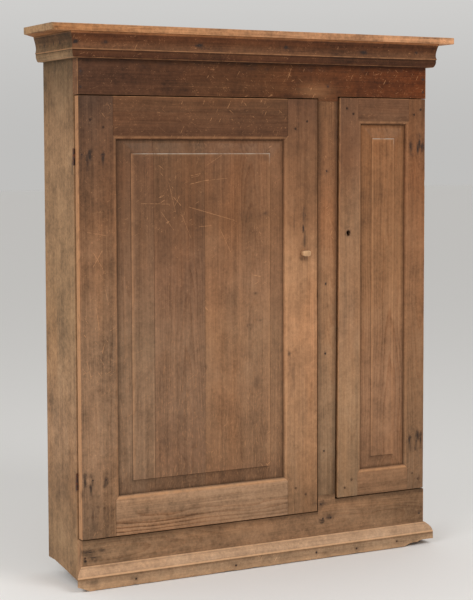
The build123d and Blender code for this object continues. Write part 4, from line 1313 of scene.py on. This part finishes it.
def cut_keyhole(piece, centre_x, centre_z, front, back):
    """Cut the keyhole through the narrow door's lock stile."""
    cutter_mesh = bpy.data.meshes.new("keyhole_cutter")
    outline = [(-SLOT_HALF, SLOT_FOOT), (SLOT_HALF, SLOT_FOOT)]
    for k in range(EYE_POINTS):
        a = math.radians(EYE_START + EYE_TURN * k)
        outline.append((EYE_RADIUS * math.cos(a), EYE_UP + EYE_RADIUS * math.sin(a)))
    depths = (front - 10 * MM, back + 10 * MM)
    points = [(centre_x + x * MM, y, centre_z + z * MM) for y in depths for x, z in outline]
    n = len(outline)
    faces = [tuple(range(n)), tuple(range(n, 2 * n))]
    faces += [(k, (k + 1) % n, n + (k + 1) % n, n + k) for k in range(n)]
    cutter_mesh.from_pydata(points, [], faces)
    work = bmesh.new()
    work.from_mesh(cutter_mesh)
    bmesh.ops.recalc_face_normals(work, faces=work.faces)
    work.to_mesh(cutter_mesh)
    work.free()
    cutter = bpy.data.objects.new("keyhole_cutter", cutter_mesh)
    bpy.context.scene.collection.objects.link(cutter)
    modifier = piece.modifiers.new("keyhole", "BOOLEAN")
    modifier.operation = "DIFFERENCE"
    modifier.solver = "EXACT"
    modifier.use_self = True
    modifier.object = cutter
    bpy.context.view_layer.update()
    evaluated = piece.evaluated_get(bpy.context.evaluated_depsgraph_get())
    cut = bpy.data.meshes.new_from_object(evaluated)
    piece.modifiers.clear()
    piece.data = cut
    bpy.data.objects.remove(cutter)


stile_low, stile_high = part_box("right_door_lock_stile")
cut_keyhole(right_made["right_door_lock_stile"], keyhole_x, keyhole_z, stile_low[1], stile_high[1])


def round_ring(across, up, depth, radius, count, turn=0.0):
    """Points of an upright circle facing the front."""
    angles = [turn + 2 * math.pi * k / count for k in range(count)]
    return [
        Vector((across + radius * math.cos(a), depth, up + radius * math.sin(a))) for a in angles
    ]


# joint pegs: slightly proud, eight-sided, dark end grain
PEG_RADIUS = 4.3 * MM
PEG_SIDES = 8
for number, door in enumerate(DOORS):
    pegs = Shell()
    chance = random.Random(140 + number)
    for low, high in islands(f"{door}_pegs"):
        centre = (low + high) / 2
        turn = chance.uniform(0, 1)
        rings = [
            round_ring(centre[0], centre[2], depth, PEG_RADIUS * share, PEG_SIDES, turn)
            for depth, share in ((high[1], 1.0), (low[1] + 0.5 * MM, 1.0), (low[1] + 0.1 * MM, 0.8))
        ]
        pegs.skin(rings, [[0.0] * PEG_SIDES] * 3, [[0.2] * PEG_SIDES] * 3)
    peg_wood = old_wood(
        f"wood_{door}_pegs", "yxz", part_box(f"{door}_pegs"),
        [(0.2, (104, 78, 58)), (1.0, (92, 66, 48)), (1.6, (66, 46, 34))], 141 + number,
        scratches=0.0, ring=0.0015,
    )
    pegs.build(f"{door}_pegs", peg_wood)

nail_heads("frame_nails", nail_iron, "front", 151)
nail_heads("cornice_nails", nail_iron, "auto", 152, radius=2.2 * MM)
for door in DOORS:
    nail_heads(f"{door}_strap_nails", nail_iron, "front", 153, radius=2.6 * MM, proud=0.5 * MM)

# ---- knob, arm, lock and hinges ----
pale = old_wood(
    "wood_latch", "yxz", (knob_low, knob_high), [(1.0, (174, 133, 95)), (1.2, (182, 141, 102))],
    161, scratches=0.3, ring=0.003, figure=0.6, wear_colour=(222, 184, 144), roughness=0.5,
)
grip_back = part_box("left_door_lock_stile")[0][1] - 0.9 * MM
grip_front = knob_low[1]
grip_half = ((knob_high[0] - knob_low[0]) / 2, (knob_high[2] - knob_low[2]) / 2)
GRIP_SIDES = 20
SPINDLE_RADIUS = 7.9 * MM
SPINDLE_SIDES = 16
grip_angles = [2 * math.pi * k / GRIP_SIDES for k in range(GRIP_SIDES)]
knob = Shell()
rings, wear_and_sheen, grime_and_painted_light = [], [], []
for depth, share, worn in (
    (grip_back, 0.86, 0.0), (grip_back - 2 * MM, 0.90, 0.1), (grip_back - 8 * MM, 0.94, 0.3),
    (grip_front + 3.5 * MM, 1.0, 0.7), (grip_front + 1.2 * MM, 0.94, 1.0), (grip_front, 0.74, 0.4),
):
    ring = []
    for k, angle in enumerate(grip_angles):
        c, s = math.cos(angle), math.sin(angle)
        # a rounded block, between a circle and a rectangle
        reach = share * (abs(c) ** 5 + abs(s) ** 5) ** (-1 / 5)
        reach *= 1 - 0.03 * abs(wobble(163 + k % 7, depth, 300))
        ring.append(
            Vector((knob_x + grip_half[0] * reach * c, depth, knob_z + grip_half[1] * reach * s))
        )
    rings.append(ring)
    wear_and_sheen.append([worn] * GRIP_SIDES)
    # grime: none on the front, painted shade on the lower left of the middle rings, painted contact
    # shade where the knob meets the door
    if depth == grip_front:
        grime_and_painted_light.append([0.0] * GRIP_SIDES)
    elif depth < grip_back - MM:
        grime_and_painted_light.append([max(0.0, -math.sin(a + grip_angles[2])) * 0.6 for a in grip_angles])
    else:
        grime_and_painted_light.append([0.7] * GRIP_SIDES)
knob.skin(rings, wear_and_sheen, grime_and_painted_light)
spindle = [
    round_ring(knob_x, knob_z, depth, SPINDLE_RADIUS, SPINDLE_SIDES)
    for depth in (grip_back - MM, knob_high[1] - MM, knob_high[1])
]
knob.skin(spindle, [[0.0] * SPINDLE_SIDES] * 3, [[0.3] * SPINDLE_SIDES] * 3)
knob.build("latch_knob", pale, smooth=40, name="turned_knob")

# the inner parts keep their CAD meshes
hinges = [
    f"{door}_{position}_{part}"
    for door in DOORS
    for position in ("upper", "lower")
    for part in ("strap_leaf", "side_leaf", "hinge_pin")
]
for nodes, material in (
    (("latch_arm", "latch_peg"), pale), (("lock_case", "lock_bolt", "lock_plate", *hinges), iron)
):
    for node in nodes:
        slots = frame["nodes"][node].data.materials
        slots.clear()
        slots.append(material)

# ---- floor, light and camera ----
FLOOR_HALF = 60.0
floor_mesh = bpy.data.meshes.new("floor")
floor_corners = [
    (x * FLOOR_HALF, y * FLOOR_HALF, 0) for x, y in ((-1, -1), (1, -1), (1, 1), (-1, 1))
]
floor_mesh.from_pydata(floor_corners, [], [(0, 1, 2, 3)])
floor = bpy.data.objects.new("floor", floor_mesh)
bpy.context.scene.collection.objects.link(floor)
floor_paint = Graph("pale_floor")
floor_mesh.materials.append(floor_paint.finish((0.88, 0.87, 0.855, 1), 0.9, 0.0, 0.0, specular=0.1))

FAR_FLOOR = 0.525
world = bpy.data.worlds.new("studio")
world.use_nodes = True
sky = world.node_tree
sky.nodes["Background"].inputs[0].default_value = (1.0, 0.99, 0.97, 1)
direction = sky.nodes.new("ShaderNodeTexCoord")
split = sky.nodes.new("ShaderNodeSeparateXYZ")
sky.links.new(direction.outputs["Generated"], split.inputs[0])


def sky_step(source, *limits):
    """A smooth step of one part of the direction looked in."""
    step = sky.nodes.new("ShaderNodeMapRange")
    step.interpolation_type = "SMOOTHSTEP"
    sky.links.new(source, step.inputs[0])
    for socket, value in zip(step.inputs[1:5], limits):
        socket.default_value = value
    return step


brightness = sky_step(split.outputs[1], -0.25, 0.5, 0.45, 0.77)
# near the horizon the studio is as bright as the far floor, so no line shows
above = sky_step(split.outputs[2], 0.0, 0.22, FAR_FLOOR)
sky.links.new(brightness.outputs[0], above.inputs[4])
sky.links.new(above.outputs[0], sky.nodes["Background"].inputs[1])
bpy.context.scene.world = world


def soft_light(name, place, aim, size, power, colour=(1, 1, 1)):
    lamp = bpy.data.lights.new(name, "AREA")
    lamp.shape = "SQUARE"
    lamp.size = size
    lamp.energy = power
    lamp.color = colour
    holder = bpy.data.objects.new(name, lamp)
    holder.location = place
    holder.rotation_euler = (Vector(aim) - Vector(place)).to_track_quat("-Z", "Y").to_euler()
    bpy.context.scene.collection.objects.link(holder)


soft_light("key", (1.6, -3.8, 4.4), (0, 0, 0.9), 2.4, 96)
soft_light("fill", (-4.0, -2.0, 2.6), (0, 0, 0.9), 3.0, 87)

view_settings = bpy.context.scene.view_settings
view_settings.view_transform = "Standard"
view_settings.look = "None"

LENS = 95.604
LENS_SHIFT = -0.042667
CAMERA_PLACE = (-2.6645, -4.9150, 1.4234)
YAW, PITCH, ROLL = math.radians(28.23), math.radians(4.216), math.radians(-0.16)
camera_data = bpy.data.cameras.new("camera")
camera_data.sensor_width = 36
camera_data.lens = LENS
camera_data.shift_y = LENS_SHIFT
camera_data.clip_end = 100
camera = bpy.data.objects.new("camera", camera_data)
turn = Matrix.Rotation(-YAW, 4, "Z") @ Matrix.Rotation(math.pi / 2 - PITCH, 4, "X")
turn = turn @ Matrix.Rotation(ROLL, 4, "Z")
camera.matrix_world = Matrix.Translation(CAMERA_PLACE) @ turn
bpy.context.scene.collection.objects.link(camera)
bpy.context.scene.camera = camera
